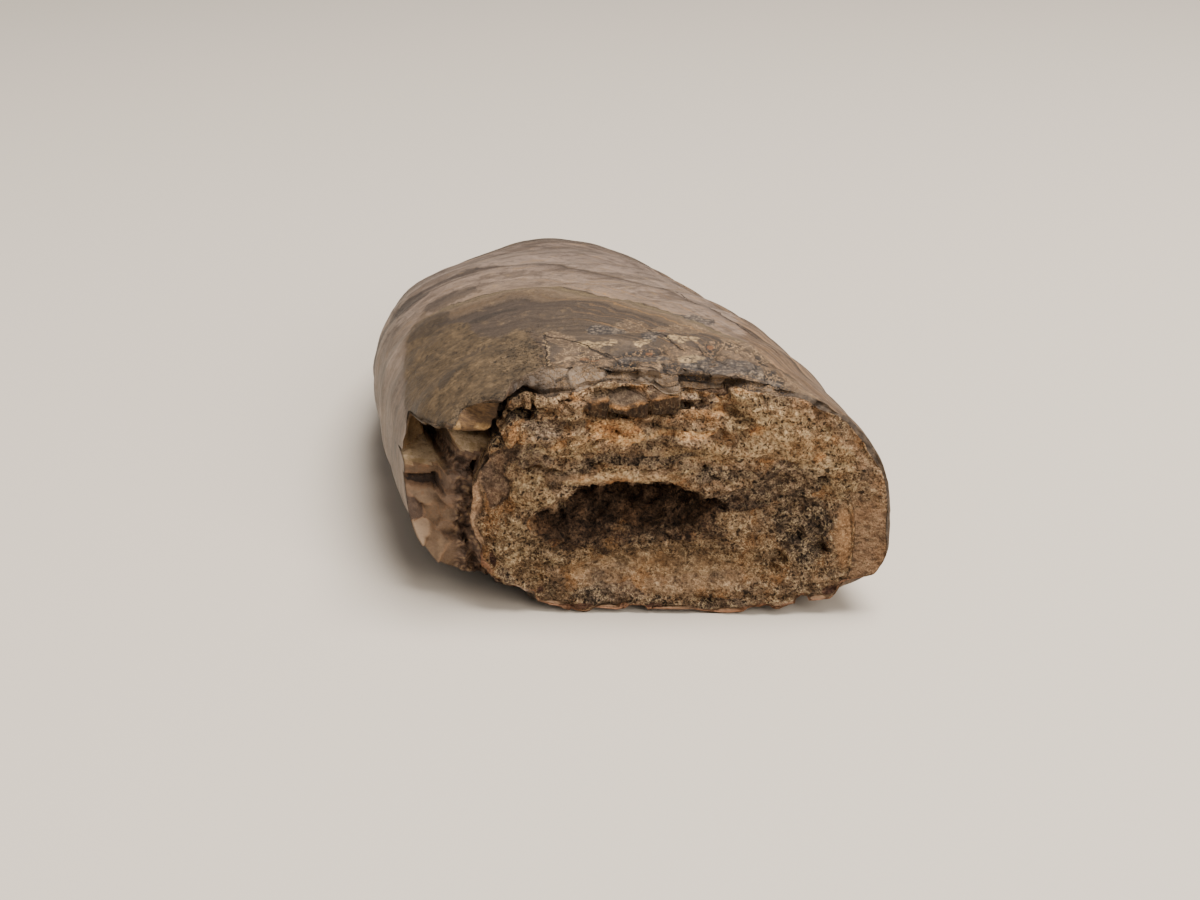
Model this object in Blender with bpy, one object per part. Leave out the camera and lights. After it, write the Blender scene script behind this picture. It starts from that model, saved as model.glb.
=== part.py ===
"""Fossil tyrannosaur tooth, one solid piece, lying on its side.

The broken root faces -Y, the crown tapers and curves towards +X at its tip on
+Y, and the flattened side of the root rests on z = 0. The origin is under the
middle of the tooth. Lengths are in metres.

The tooth is a ball whose rings are moved into place: the first rings lie on
the broken face, the next ones step back from its core to the outer shell, and
the rest are the tooth's cross-sections up to the tip. Small blocks are fused
to the broken face, and chips and flat spalls are cut from its edge.
"""
import math

import bmesh
import bpy
import numpy as np
from mathutils import Euler, Vector

MM = 0.001

# Driving dimensions
LENGTH = 77.6 * MM            # from the nearest part of the break to the tip
ROOT_WIDTH = 31.6 * MM        # front edge to back edge of the root
ROOT_THICKNESS = 18.15 * MM   # cheek side to tongue side, before the flat
BELOW_AXIS = 0.4507           # share of the thickness that lies under the axis
AXIS_HEIGHT = 7.95 * MM       # height of the root's axis over the resting face
TIP_SIDE = 9.5 * MM           # how far the tip curves to the side
TIP_HEIGHT = 4.1 * MM         # height of the tip over the resting face
CROWN_START = -26.2 * MM      # where the tooth begins to taper
TIP_CAP = 0.05                # share of the crown that is its rounded tip
TIP_BLUNTNESS = 0.965         # below 1, the taper stops short of a point
WIDTH_TAPER = (2.7, 0.90)     # powers of the taper, how late it starts and how full it stays
THICKNESS_TAPER = (2.4, 0.95)
CURVE_POWER = 2.8             # the tip's curve to the side starts late
SINK_POWER = 1.9              # the axis sinks towards the tip from early on
NECK_LENGTH = 14.0 * MM       # the root narrows a little towards the break
NECK_NARROWING = 0.035

# Powers of the rounded oval of a cross-section, 2 for an ellipse: root, tip
OVAL_UPPER_LEFT = (2.7, 1.9)
OVAL_UPPER_RIGHT = (2.5, 2.05)
OVAL_LOWER = (2.7, 2.0)
OVAL_LOWER_RIGHT_EXTRA = 1.0
ROUNDED_BY = 0.35             # share of the crown by which the upper right is round

BREAK_Y = -34.45 * MM         # the broken face on the tooth's axis
BREAK_SLOPE = 0.287           # the break runs towards -Y on the right
CAVITY_CENTRE = (-1.75 * MM, 7.9 * MM)
CAVITY_HALF = (5.8 * MM, 2.5 * MM)
CAVITY_DEPTH = 6.0 * MM

KEEL_HEIGHT = 0.3 * MM        # cutting edges along both sides of the crown
KEEL_START = -8.0 * MM
KEEL_FADE_IN = 12.0 * MM
BAND_HEIGHT = 0.10 * MM       # low uneven bands across the tooth
BAND_LENGTHS = (7.2 * MM, 4.6 * MM)
SHOULDER_HEIGHT = 0.45 * MM   # low swelling behind the break, upper right
SHOULDER_Y = -22.0 * MM
SHOULDER_LENGTH = 8.0 * MM

# Mesh divisions, the rings counted from the middle of the cavity to the tip
COLUMNS = 72
CAVITY_RINGS = 5
FACE_RINGS = 13
STEP_RINGS = 5
SHELL_RINGS = 36
STEP_OUTWARD = (0.0, 0.07, 0.30, 0.50, 0.62, 1.0)
RINGS = FACE_RINGS + STEP_RINGS + SHELL_RINGS

# The broken edge, round the tooth: (degrees, value), 0 on the right, 90 on top.
# The core's share of the distance from the axis of the cavity to the outer surface
CORE_SHARE = [(0, 0.985), (35, 0.975), (60, 0.98), (75, 0.965), (85, 0.94), (100, 0.91),
              (115, 0.89), (127, 0.91), (137, 0.82), (143, 0.76), (157, 0.715), (175, 0.72),
              (187, 0.76), (201, 0.765), (215, 0.80), (226, 0.845), (235, 0.87), (244, 0.935),
              (252, 0.98), (300, 0.985)]
# Millimetres behind the face of the core: the foot of the step, the ledge inside
# the shell, and the edge of the outer shell, which juts forward as a crust at 124-148
FOOT_BACK = [(0, 0.1), (60, 0.3), (80, 0.9), (95, 0.8), (115, 1.3), (128, 1.8), (138, 3.4),
             (146, 6.6), (156, 8.8), (166, 6.8), (176, 3.4), (195, 2.6), (212, 2.8),
             (228, 2.8), (240, 2.0), (250, 0.3), (300, 0.1)]
LEDGE_BACK = [(0, 0.1), (60, 0.3), (80, 1.2), (95, 1.3), (110, 1.0), (122, 0.2), (130, 0.2),
              (144, 0.0), (150, 3.2), (155, 8.6), (163, 8.2), (169, 6.0), (178, 3.9),
              (200, 3.6), (215, 3.9), (230, 3.8), (241, 2.6), (250, 0.3), (300, 0.1)]
SHELL_BACK = [(0, 0.2), (60, 0.4), (76, 1.5), (92, 2.0), (106, 1.2), (117, 0.7), (124, -1.4),
              (131, -0.4), (137, 0.2), (144, -1.4), (149, 0.0), (154, 2.4), (160, 6.6),
              (168, 5.2), (180, 4.0), (205, 4.2), (228, 4.6), (240, 4.0), (249, 0.5),
              (256, 0.2), (300, 0.2)]

# Blocks of dentine that stand on the broken face: centre, size, turn in degrees
BLOCKS = [
    ((-1.75, -34.2, 15.75), (2.4, 2.4, 1.7), (14, 8, -20)),
    ((0.45, -34.8, 15.95), (1.9, 2.2, 1.4), (10, -6, -12)),
    ((-3.9, -33.6, 15.4), (1.6, 2.0, 1.2), (18, 12, -16)),
    ((6.2, -35.9, 16.5), (1.9, 1.9, 0.9), (12, -14, -17)),
]
# Flat spalls and chips cut from the edge of the break
CUTS = [
    ((-15.6, -30.2, 6.6), (4.6, 6.4, 6.4), (-6, 6, -38)),
    ((-14.2, -29.6, 2.6), (6.0, 6.4, 4.4), (22, -38, -24)),
    ((10.4, -37.8, 0.6), (1.5, 2.4, 2.0), (20, 35, 10)),
    ((12.9, -38.6, 1.7), (1.7, 1.6, 1.2), (0, 30, 30)),
    ((0.5, -34.7, 0.0), (1.9, 1.8, 0.9), (15, 20, 0)),
    ((-5.2, -33.0, 0.1), (1.8, 1.6, 0.9), (-10, 40, 15)),
    ((3.6, -35.2, 17.9), (5.4, 3.0, 1.6), (26, 3, -16)),
    ((-8.9, -31.7, 15.7), (2.4, 3.4, 1.5), (10, -24, -18)),
]


def around(angle, points):
    """Smooth closed curve through (degrees, value) points, read at angles in radians."""
    degrees = np.array([point[0] for point in points] + [points[0][0] + 360.0])
    values = np.array([point[1] for point in points] + [points[0][1]])
    turn = np.mod(np.degrees(angle) - degrees[0], 360.0) + degrees[0]
    index = np.clip(np.searchsorted(degrees, turn, side="right") - 1, 0, len(points) - 1)
    share = (turn - degrees[index]) / (degrees[index + 1] - degrees[index])
    ease = share * share * (3.0 - 2.0 * share)
    return values[index] + (values[index + 1] - values[index]) * ease


def signed_power(value, power):
    """The power of a number's size, with the number's own sign."""
    return np.sign(value) * np.abs(value) ** power


def blend(pair, share):
    """Value that runs from the first of a pair to the second."""
    return pair[0] + (pair[1] - pair[0]) * np.clip(share, 0.0, 1.0)


def tapered(crown, powers):
    """Share of the root's size that is left at a share of the crown, 1 down to 0."""
    late, full = powers
    in_cap = np.clip((crown - 1.0 + TIP_CAP) / TIP_CAP, 0.0, 1.0)
    return (1.0 - (TIP_BLUNTNESS * crown) ** late) ** full * np.sqrt(1.0 - in_cap ** 2)


def surface_relief(y, angle, crown):
    """Height of the keels, the uneven bands and the shoulder over the plain oval."""
    keel = KEEL_HEIGHT * np.clip((y - KEEL_START) / KEEL_FADE_IN, 0.0, 1.0)
    keel = keel * (1.0 - crown ** 12) * np.exp(-(np.sin(angle) / 0.09) ** 2)
    wander = y + 1.2 * MM * np.sin(2.0 * angle)
    long_wave = np.sin(2.0 * math.pi * wander / BAND_LENGTHS[0])
    short_wave = np.sin(2.0 * math.pi * wander / BAND_LENGTHS[1] + 1.0)
    band = BAND_HEIGHT * (long_wave + 0.8 * short_wave) * (1.0 - crown ** 6)
    from_shoulder = (np.mod(angle, 2.0 * math.pi) - math.radians(48.0)) / math.radians(20.0)
    along = (y - SHOULDER_Y) / SHOULDER_LENGTH
    shoulder = SHOULDER_HEIGHT * np.exp(-from_shoulder ** 2 - along ** 2)
    return keel + shoulder, band


def section(y, angle):
    """Outer surface of the tooth: x and z at a distance y, at an angle round the axis.

    Each cross-section is a rounded oval. It narrows a little towards the break,
    and closes with a round cap at the tip, while its centre curves aside and sinks.
    """
    crown = np.clip((y - CROWN_START) / (0.5 * LENGTH - CROWN_START), 0.0, 1.0)
    neck = 1.0 - NECK_NARROWING * np.clip((CROWN_START - y) / NECK_LENGTH, 0.0, 2.0) ** 2
    half_width = 0.5 * ROOT_WIDTH * tapered(crown, WIDTH_TAPER) * neck
    thickness = ROOT_THICKNESS * tapered(crown, THICKNESS_TAPER) * neck
    centre_x = TIP_SIDE * crown ** CURVE_POWER
    centre_z = AXIS_HEIGHT + (TIP_HEIGHT - AXIS_HEIGHT) * crown ** SINK_POWER

    across, up = np.cos(angle), np.sin(angle)
    extra = OVAL_LOWER_RIGHT_EXTRA * np.clip(across, 0.0, 1.0) * (1.0 - crown)
    upper_oval = np.where(across < 0.0, blend(OVAL_UPPER_LEFT, crown),
                          blend(OVAL_UPPER_RIGHT, crown / ROUNDED_BY))
    oval = np.where(up < 0.0, blend(OVAL_LOWER, crown) + extra, upper_oval)
    height = np.where(up < 0.0, BELOW_AXIS, 1.0 - BELOW_AXIS) * thickness

    swelling, band = surface_relief(y, angle, crown)
    x = centre_x + half_width * signed_power(across, 2.0 / oval) + (swelling + 0.5 * band) * across
    z = centre_z + height * signed_power(up, 2.0 / oval) + (swelling + band) * up
    return x, np.maximum(z, 0.0)


def break_plane(x):
    """Distance y of the plain broken face at a place across the tooth."""
    return BREAK_Y - BREAK_SLOPE * x


def swell(x, z, height, centre, half):
    """Round swelling of a height, in millimetres, about a centre on the broken face."""
    across = (x / MM - centre[0]) / half[0]
    up = (z / MM - centre[1]) / half[1]
    return height * MM * np.exp(-across ** 2 - up ** 2)


def break_relief(x, z):
    """How far the broken face lies behind its plain plane."""
    from_centre = np.hypot((x - CAVITY_CENTRE[0]) / CAVITY_HALF[0],
                           (z - CAVITY_CENTRE[1]) / CAVITY_HALF[1])
    cavity = CAVITY_DEPTH * np.clip(1.0 - from_centre ** 2, 0.0, 1.0) ** 0.8
    dip_right = swell(x, z, 0.9, (9.0, 7.6), (3.4, 3.6))
    layer_on_top = swell(x, z, 0.6, (-0.6, 14.1), (4.4, 0.9))
    groove_below_it = swell(x, z, 0.5, (-1.0, 11.9), (5.0, 0.8))
    hollow_left = swell(x, z, 0.7, (-10.6, 10.0), (1.3, 3.2))
    uneven = 0.15 * MM * np.sin(x / (1.7 * MM) + 1.3) * np.sin(z / (1.3 * MM) + 0.4)
    return cavity + dip_right - layer_on_top + groove_below_it + hollow_left + uneven


def outer_rim(angle):
    """Where the outer surface meets the plain plane of the break: x, y and z."""
    y = np.full_like(angle, BREAK_Y)
    for _ in range(5):
        x, z = section(y, angle)
        y = break_plane(x)
    return x, y, z


def core_edge(angle):
    """The core's edge on the break: x and z."""
    rim_x, _, rim_z = outer_rim(angle)
    reach = around(angle, CORE_SHARE)
    x = CAVITY_CENTRE[0] + reach * (rim_x - CAVITY_CENTRE[0])
    z = CAVITY_CENTRE[1] + reach * (rim_z - CAVITY_CENTRE[1])
    return x, z


def broken_face(ring, angle):
    """Rings from the middle of the cavity to its mouth, then on to the core's edge."""
    mouth_x = CAVITY_CENTRE[0] + CAVITY_HALF[0] * np.cos(angle)
    mouth_z = CAVITY_CENTRE[1] + CAVITY_HALF[1] * np.sin(angle)
    inside = np.clip(ring / CAVITY_RINGS, 0.0, 1.0)
    outside = np.clip((ring - CAVITY_RINGS) / (FACE_RINGS - CAVITY_RINGS), 0.0, 1.0)
    edge_x, edge_z = core_edge(angle)
    x = CAVITY_CENTRE[0] + inside * (mouth_x - CAVITY_CENTRE[0]) + outside * (edge_x - mouth_x)
    z = CAVITY_CENTRE[1] + inside * (mouth_z - CAVITY_CENTRE[1]) + outside * (edge_z - mouth_z)
    return x, break_plane(x) + break_relief(x, z), z


def broken_step(ring, angle):
    """Rings from the core's edge back to the foot of the step and out to the shell."""
    core_x, core_z = core_edge(angle)
    core_y = break_plane(core_x) + break_relief(core_x, core_z)
    _, plane_y, _ = outer_rim(angle)
    edge_y = plane_y + around(angle, SHELL_BACK) * MM
    edge_x, edge_z = section(edge_y, angle)
    outward = np.interp(ring, np.arange(STEP_RINGS + 1), STEP_OUTWARD)
    foot_y = core_y + around(angle, FOOT_BACK) * MM
    ledge_y = core_y + around(angle, LEDGE_BACK) * MM
    y = np.choose(np.clip(ring, 0, STEP_RINGS).astype(int),
                  (core_y, foot_y, foot_y, 0.4 * foot_y + 0.6 * ledge_y, ledge_y, edge_y))
    return core_x + outward * (edge_x - core_x), y, core_z + outward * (edge_z - core_z)


def outer_shell(share, angle):
    """Outer surface, share 0 at the edge of the break and 1 at the tip."""
    _, plane_y, _ = outer_rim(angle)
    edge_y = plane_y + around(angle, SHELL_BACK) * MM
    closer_at_tip = share + 0.10 * np.sin(math.pi * share)
    y = edge_y + (0.5 * LENGTH - edge_y) * closer_at_tip
    x, z = section(y, angle)
    return x, y, z


def new_material(name, colour, roughness):
    """Plain shaded material."""
    material = bpy.data.materials.new(name)
    material.use_nodes = True
    shader = material.node_tree.nodes["Principled BSDF"]
    shader.inputs["Base Color"].default_value = (*colour, 1.0)
    shader.inputs["Roughness"].default_value = roughness
    shader.inputs["Metallic"].default_value = 0.0
    return material


def new_collection(name):
    """Collection in the scene."""
    collection = bpy.data.collections.new(name)
    bpy.context.scene.collection.children.link(collection)
    return collection


def add_tooth_body(collection, material):
    """The ball whose rings become the broken face, the step and the outer surface."""
    mesh = bpy.data.meshes.new("tooth")
    ball = bmesh.new()
    bmesh.ops.create_uvsphere(ball, u_segments=COLUMNS, v_segments=RINGS, radius=1.0)
    ball.verts.ensure_lookup_table()
    points = np.array([vertex.co for vertex in ball.verts])
    angle = np.arctan2(points[:, 1], points[:, 0])
    ring = np.rint(np.arccos(np.clip(-points[:, 2], -1.0, 1.0)) / math.pi * RINGS)

    on_face = ring <= FACE_RINGS
    on_step = (ring > FACE_RINGS) & (ring < FACE_RINGS + STEP_RINGS)
    face = np.array(broken_face(ring, angle))
    step = np.array(broken_step(ring - FACE_RINGS, angle))
    first_shell_ring = FACE_RINGS + STEP_RINGS
    share = np.clip((ring - first_shell_ring) / (RINGS - first_shell_ring), 0.0, 1.0)
    shell = np.array(outer_shell(share, angle))
    placed = np.where(on_face, face, np.where(on_step, step, shell)).T
    for vertex, place in zip(ball.verts, placed):
        vertex.co = place
    bmesh.ops.recalc_face_normals(ball, faces=ball.faces)
    ball.to_mesh(mesh)
    ball.free()

    mesh.shade_smooth()
    mesh.set_sharp_from_angle(angle=math.radians(35.0))
    mesh.materials.append(material)
    tooth = bpy.data.objects.new("tooth", mesh)
    collection.objects.link(tooth)
    return tooth


def add_rough_block(name, placing, collection):
    """Small block with one pinched end, from (centre, size, turn) in mm and degrees."""
    centre, size, turn = placing
    mesh = bpy.data.meshes.new(name)
    block = bmesh.new()
    bmesh.ops.create_cube(block, size=1.0)
    for vertex in block.verts:
        if vertex.co.y > 0.0:
            vertex.co.x *= 0.86
            vertex.co.z *= 0.80
    bmesh.ops.scale(block, vec=Vector(size) * MM, verts=block.verts)
    block.to_mesh(mesh)
    block.free()
    tool = bpy.data.objects.new(name, mesh)
    tool.location = Vector(centre) * MM
    tool.rotation_euler = Euler([math.radians(value) for value in turn])
    tool.hide_render = True
    tool.display_type = "WIRE"
    collection.objects.link(tool)


def add_boolean(tooth, operation, placings, collection):
    """One exact Boolean with every rough block of a list."""
    for number, placing in enumerate(placings, start=1):
        add_rough_block(f"{collection.name}_{number}", placing, collection)
    boolean = tooth.modifiers.new(collection.name, "BOOLEAN")
    boolean.operation = operation
    boolean.solver = "EXACT"
    boolean.operand_type = "COLLECTION"
    boolean.collection = collection


for old in list(bpy.data.objects):
    bpy.data.objects.remove(old, do_unlink=True)

parts = new_collection("fossil_tooth")
dentine = new_material("fossil_dentine", (0.24, 0.17, 0.105), 0.55)
tooth_body = add_tooth_body(parts, dentine)
add_boolean(tooth_body, "UNION", BLOCKS, new_collection("added_blocks"))
add_boolean(tooth_body, "DIFFERENCE", CUTS, new_collection("cutters"))
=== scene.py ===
"""Looks of a fossil tooth that lies on a pale floor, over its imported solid."""

import functools
import itertools
import math

import bpy
import numpy as np
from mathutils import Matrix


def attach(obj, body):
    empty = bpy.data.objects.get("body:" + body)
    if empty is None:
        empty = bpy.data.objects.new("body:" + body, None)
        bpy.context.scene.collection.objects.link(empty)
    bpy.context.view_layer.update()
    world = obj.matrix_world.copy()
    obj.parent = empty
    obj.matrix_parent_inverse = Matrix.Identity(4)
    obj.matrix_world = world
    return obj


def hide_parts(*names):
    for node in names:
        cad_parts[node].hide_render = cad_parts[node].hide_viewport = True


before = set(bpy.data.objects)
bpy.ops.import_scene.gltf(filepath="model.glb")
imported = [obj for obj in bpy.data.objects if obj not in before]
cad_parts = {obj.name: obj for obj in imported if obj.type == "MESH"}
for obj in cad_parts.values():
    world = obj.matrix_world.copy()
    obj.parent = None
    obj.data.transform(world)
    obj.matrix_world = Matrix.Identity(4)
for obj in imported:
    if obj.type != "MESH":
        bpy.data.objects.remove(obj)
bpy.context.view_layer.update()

# The fossil tooth
# One tooth of a large flesh-eating dinosaur, turned to stone: thin enamel over dentine
# round a hollow pulp cavity. It grew as one piece and snapped off at the root, so it is
# one closed mesh, whose rows run from the middle of the break out and back to the tip.

# Its outer form, in millimetres: rounded ovals that taper, curve aside and sink
LENGTH = 77.6
ROOT_WIDTH, ROOT_THICKNESS = 31.6, 18.15
BELOW_AXIS, AXIS_HEIGHT = 0.4507, 7.95
TIP_SIDE, TIP_HEIGHT = 9.5, 4.1
CROWN_START = -26.2
TIP_CAP, TIP_BLUNTNESS = 0.05, 0.965
WIDTH_TAPER, THICKNESS_TAPER = (2.7, 0.9), (2.4, 0.95)
CURVE_POWER, SINK_POWER = 2.8, 1.9
NECK_LENGTH, NECK_NARROWING = 14, 0.035
OVAL_UPPER_LEFT, OVAL_UPPER_RIGHT, OVAL_LOWER = (2.7, 1.9), (2.5, 2.05), (2.7, 2)
OVAL_LOWER_RIGHT_EXTRA, ROUNDED_BY = 1, 0.35
KEEL_HEIGHT, KEEL_START, KEEL_FADE_IN = 0.3, -8, 12
BAND_HEIGHT, BAND_LENGTHS = 0.1, (7.2, 4.6)
# Swellings and one flat, as degrees round the tooth, y, height, and how far round and along
SWELLINGS = ((48, -22, 0.45, 20, 8), (-8, -38, 0.5, 26, 9), (118, 17, -1.1, 30, 13))
BREAK_Y, BREAK_SLOPE = -34.45, 0.287
FACE_X, FACE_Z = -1.75, 7.9

# The broken edge, round the tooth in degrees, 0 on the right and 90 on top: the core's
# share of the way out to the surface, and how many millimetres the foot of the step,
# the ledge and the edge of the shell stand back from the core
CORE_SHARE = [(0, 0.985), (35, 0.975), (58, 0.97), (66, 0.945), (72, 0.93), (77, 0.895), (82, 0.885),
    (90, 0.89), (95, 0.915), (100, 0.885), (106, 0.865), (113, 0.86), (118, 0.9), (123, 0.905),
    (127, 0.855), (133, 0.815), (138, 0.755), (142, 0.735), (157, 0.7), (166, 0.71), (175, 0.735),
    (184, 0.75), (192, 0.74), (200, 0.74), (214, 0.79), (226, 0.845), (235, 0.87), (244, 0.935),
    (252, 0.98), (300, 0.985)]
FOOT_BACK = [(0, 0.1), (60, 0.15), (70, 0.15), (84, 0.2), (95, 0.3), (112, 1.1), (118, 2), (128, 2.4),
    (138, 4.4), (146, 6.6), (156, 8.8), (166, 6.8), (176, 3.4), (195, 2.6), (212, 2.8), (228, 2.8),
    (240, 2), (250, 0.3), (300, 0.1)]
LEDGE_BACK = [(0, 0.1), (60, 0.2), (72, 0.3), (80, 0.35), (90, 0.5), (97, 1), (108, 1.5), (114, 1.1),
    (122, 0.2), (130, 0.2), (144, 0), (150, 3.2), (155, 8.6), (163, 8.2), (169, 6), (178, 3.9), (200, 3.6),
    (215, 3.9), (230, 3.8), (241, 2.6), (250, 0.3), (300, 0.1)]
SHELL_BACK = [(0, 0.2), (60, 0.3), (76, 0.4), (88, 0.6), (94, 1.6), (108, 2.4), (113, 1.4), (117, 0.7),
    (124, -1.4), (131, -0.4), (137, 0.2), (144, -1.4), (149, 0), (154, 2.4), (160, 6.6), (168, 5.2),
    (180, 4), (205, 4.2), (228, 4.6), (240, 4), (249, 0.5), (256, 0.2), (300, 0.2)]
# The foot's and the ledge's share of the way from the core out to the shell, the foot's
# below 0 where the core is undercut, and the places of the bends between them
FOOT_SHARE = [(0, 0.07), (112, 0.07), (122, -0.1), (130, -0.35), (140, -0.42), (158, -0.34), (176, -0.24),
    (200, -0.2), (222, -0.1), (245, 0.05), (300, 0.07)]
LEDGE_SHARE = [(0, 0.62), (114, 0.62), (121, 0.5), (127, 0.37), (133, 0.21), (139, 0.3), (144, 0.54),
    (147, 0.8), (151, 0.62), (300, 0.62)]
BETWEEN_THEM = (0, 0.45, 0.8, 1)

# Flat facets left of the core, where the shell has split off: x and z of the middle, how
# far it stands behind the break, how much farther for each mm to the right and up, and
# how pale and how golden its stone is, with painted shade in the darkest, in the pockets
# under the crust and the crease, and painted light in the palest
FACETS = ((-14.8, 10.9, 6.8, 1, 0.2, 0.55, 1), (-13, 10.9, 10, 0, 0, 0.1, 0.8),
    (-11.2, 12.75, 7.5, 0, 0, 0, 0.8), (-11.5, 11.7, 3.1, 0.2, 1.8, 1, 0.9),
    (-11.5, 10.9, 3.6, 0.1, 0.3, 0.5, 0), (-11.6, 9.9, 3.3, 0.1, 0.6, 0.3, 0.3),
    (-14.4, 9.62, 6, 0, 5.5, 0.95, 1), (-14.4, 9, 4.9, 0.1, -0.2, 0.4, 0.4),
    (-14.4, 8.1, 5.3, 0.2, 0.9, 0.05, 0.3), (-14.5, 7.35, 4.1, -0.1, 1, 0.65, 0.25),
    (-15.1, 6.5, 3.7, 0.8, 0.9, 0.3, 0), (-14.1, 6.3, 3.5, -0.6, 0.2, 0.55, 0.35),
    (-12.4, 8.5, 3, 0.2, -0.1, 0.4, 0.1), (-12.6, 7.4, 2.8, 0.4, -0.3, 0.5, 0),
    (-13.2, 6.6, 3, -0.25, 0.9, 0.6, 0.3), (-14.8, 5.1, 3.1, 0.7, 0.6, 0.85, 0.1),
    (-14, 4.6, 2.8, -0.7, 0.3, 0.6, 0.35), (-13.3, 5.4, 2.9, 0.1, -0.4, 0.55, 0.2),
    (-12.7, 4, 2.5, 0.3, -0.5, 0.5, 0.3), (-11.6, 4.7, 2.9, -0.9, 0.2, 0.6, 0),
    (-12.4, 5.7, 3.2, 0.2, 0.4, 0.4, 0.1))
# Lower edge of the break across the tooth, where flakes stand down between notches
LOWER_EDGE = ((-16.0, -11.1, -10.4, -9.5, -8.6, -7.9, -7.78, -6.4, -5.7, -5.2, -4.65, -4.3, -3.85, -2.3,
               -1.9, -0.6, -0.2, 2.7, 3.3, 4.0, 4.5, 5.9, 6.1, 6.2, 7.4, 8.4, 9.5, 10.05, 10.4, 10.6,
               11.9, 12.4, 12.7, 14.9, 16.0),
              (5.0, 3.75, 2.9, 2.35, 1.9, 1.7, 0.8, 0.6, 0.45, 0.3, 0.0, 0.1, 0.5, 0.35,
               0.65, 0.75, 0.35, 0.35, 0.2, 0.05, 0.0, 0.0, 0.1, 0.55, 0.95, 0.75, 0.9, 1.75, 1.75, 1.1,
               1.2, 1.8, 2.65, 3.3, 4.2))

# Rows of the mesh: the face, the step behind its edge, with the row of each bend of the
# step, and the shell
COLUMNS = 432
FACE_ROWS, STEP_ROWS, SHELL_ROWS = 92, 34, 98
STEP_BENDS = (0, 8, 13, 18, 24, 34)


def around(angle, points):
    """Closed curve through (degrees, value) points, eased by an S-curve between each two."""
    degrees = np.array([point[0] for point in points] + [points[0][0] + 360])
    values = np.array([point[1] for point in points] + [points[0][1]])
    turn = np.mod(np.degrees(angle) - degrees[0], 360) + degrees[0]
    index = np.clip(np.searchsorted(degrees, turn, side="right") - 1, 0, len(points) - 1)
    share = (turn - degrees[index]) / (degrees[index + 1] - degrees[index])
    ease = share * share * (3 - 2 * share)
    return values[index] + (values[index + 1] - values[index]) * ease


def signed_power(value, power):
    """The power of a number's size, with the number's own sign."""
    return np.sign(value) * np.abs(value) ** power


def blend(pair, share):
    """Value that runs in a straight line from the first of a pair to the second."""
    return pair[0] + (pair[1] - pair[0]) * np.clip(share, 0, 1)


def rise(value, low, high):
    """0 at low and 1 at high, whichever is the larger, and an S-curve between them."""
    share = np.clip((value - low) / (high - low), 0, 1)
    return share * share * (3 - 2 * share)


def bell(value, half_width):
    """Bell curve: 1 at 0, and the exponential of the negative square of the widths from it."""
    return np.exp(-(value / half_width) ** 2)


def within(value, low, from_here, to_here, high):
    """1 between two middle numbers, and S-curves down to 0 at the low and the high one."""
    return rise(value, low, from_here) * rise(value, high, to_here)


def tapered(crown, powers):
    """What is left of the root's size: one less a power of the crown, raised to another,
    and closed by a round cap at the tip."""
    late, full = powers
    in_cap = np.clip((crown - 1 + TIP_CAP) / TIP_CAP, 0, 1)
    return (1 - (TIP_BLUNTNESS * crown) ** late) ** full * np.sqrt(1 - in_cap ** 2)


def outer_section(y, angle):
    """x and z of the outer surface: a rounded oval, whose width and height are the tapered
    root's times signed powers of cosine and sine, with keels, bands and a swelling."""
    crown = np.clip((y - CROWN_START) / (0.5 * LENGTH - CROWN_START), 0, 1)
    neck = 1 - NECK_NARROWING * np.clip((CROWN_START - y) / NECK_LENGTH, 0, 2) ** 2
    half_width = 0.5 * ROOT_WIDTH * tapered(crown, WIDTH_TAPER) * neck
    thickness = ROOT_THICKNESS * tapered(crown, THICKNESS_TAPER) * neck
    centre_x = TIP_SIDE * crown ** CURVE_POWER
    centre_z = AXIS_HEIGHT + (TIP_HEIGHT - AXIS_HEIGHT) * crown ** SINK_POWER
    across, up = np.cos(angle), np.sin(angle)
    extra = OVAL_LOWER_RIGHT_EXTRA * np.clip(across, 0, 1) * (1 - crown)
    upper_oval = np.where(across < 0, blend(OVAL_UPPER_LEFT, crown),
        blend(OVAL_UPPER_RIGHT, crown / ROUNDED_BY))
    oval = np.where(up < 0, blend(OVAL_LOWER, crown) + extra, upper_oval)
    height = np.where(up < 0, BELOW_AXIS, 1 - BELOW_AXIS) * thickness
    keel = KEEL_HEIGHT * np.clip((y - KEEL_START) / KEEL_FADE_IN, 0, 1)
    keel = keel * (1 - crown ** 12) * bell(up, 0.09)
    wander = y + 1.2 * np.sin(2 * angle)
    band = np.sin(2 * math.pi * wander / BAND_LENGTHS[0])
    band += 0.8 * np.sin(2 * math.pi * wander / BAND_LENGTHS[1] + 1)
    band = BAND_HEIGHT * band * (1 - crown ** 6)
    swelling = keel
    for middle, middle_y, proud, half_turn, half_length in SWELLINGS:
        aside = np.mod(np.degrees(angle) - middle + 180, 360) - 180
        swelling = swelling + proud * bell(aside, half_turn) * bell(y - middle_y, half_length)
    x = centre_x + half_width * signed_power(across, 2 / oval) + (swelling + 0.5 * band) * across
    z = centre_z + height * signed_power(up, 2 / oval) + (swelling + band) * up
    return x, np.maximum(z, 0)


def break_plane(x):
    """How far along the tooth the plane of the break lies, which slants across it."""
    return BREAK_Y - BREAK_SLOPE * x


def outer_rim(angle):
    """Where the outer surface meets the plane of the break, found in five steps."""
    y = np.full_like(angle, BREAK_Y)
    for _ in range(5):
        x, z = outer_section(y, angle)
        y = break_plane(x)
    return x, y, z


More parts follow.
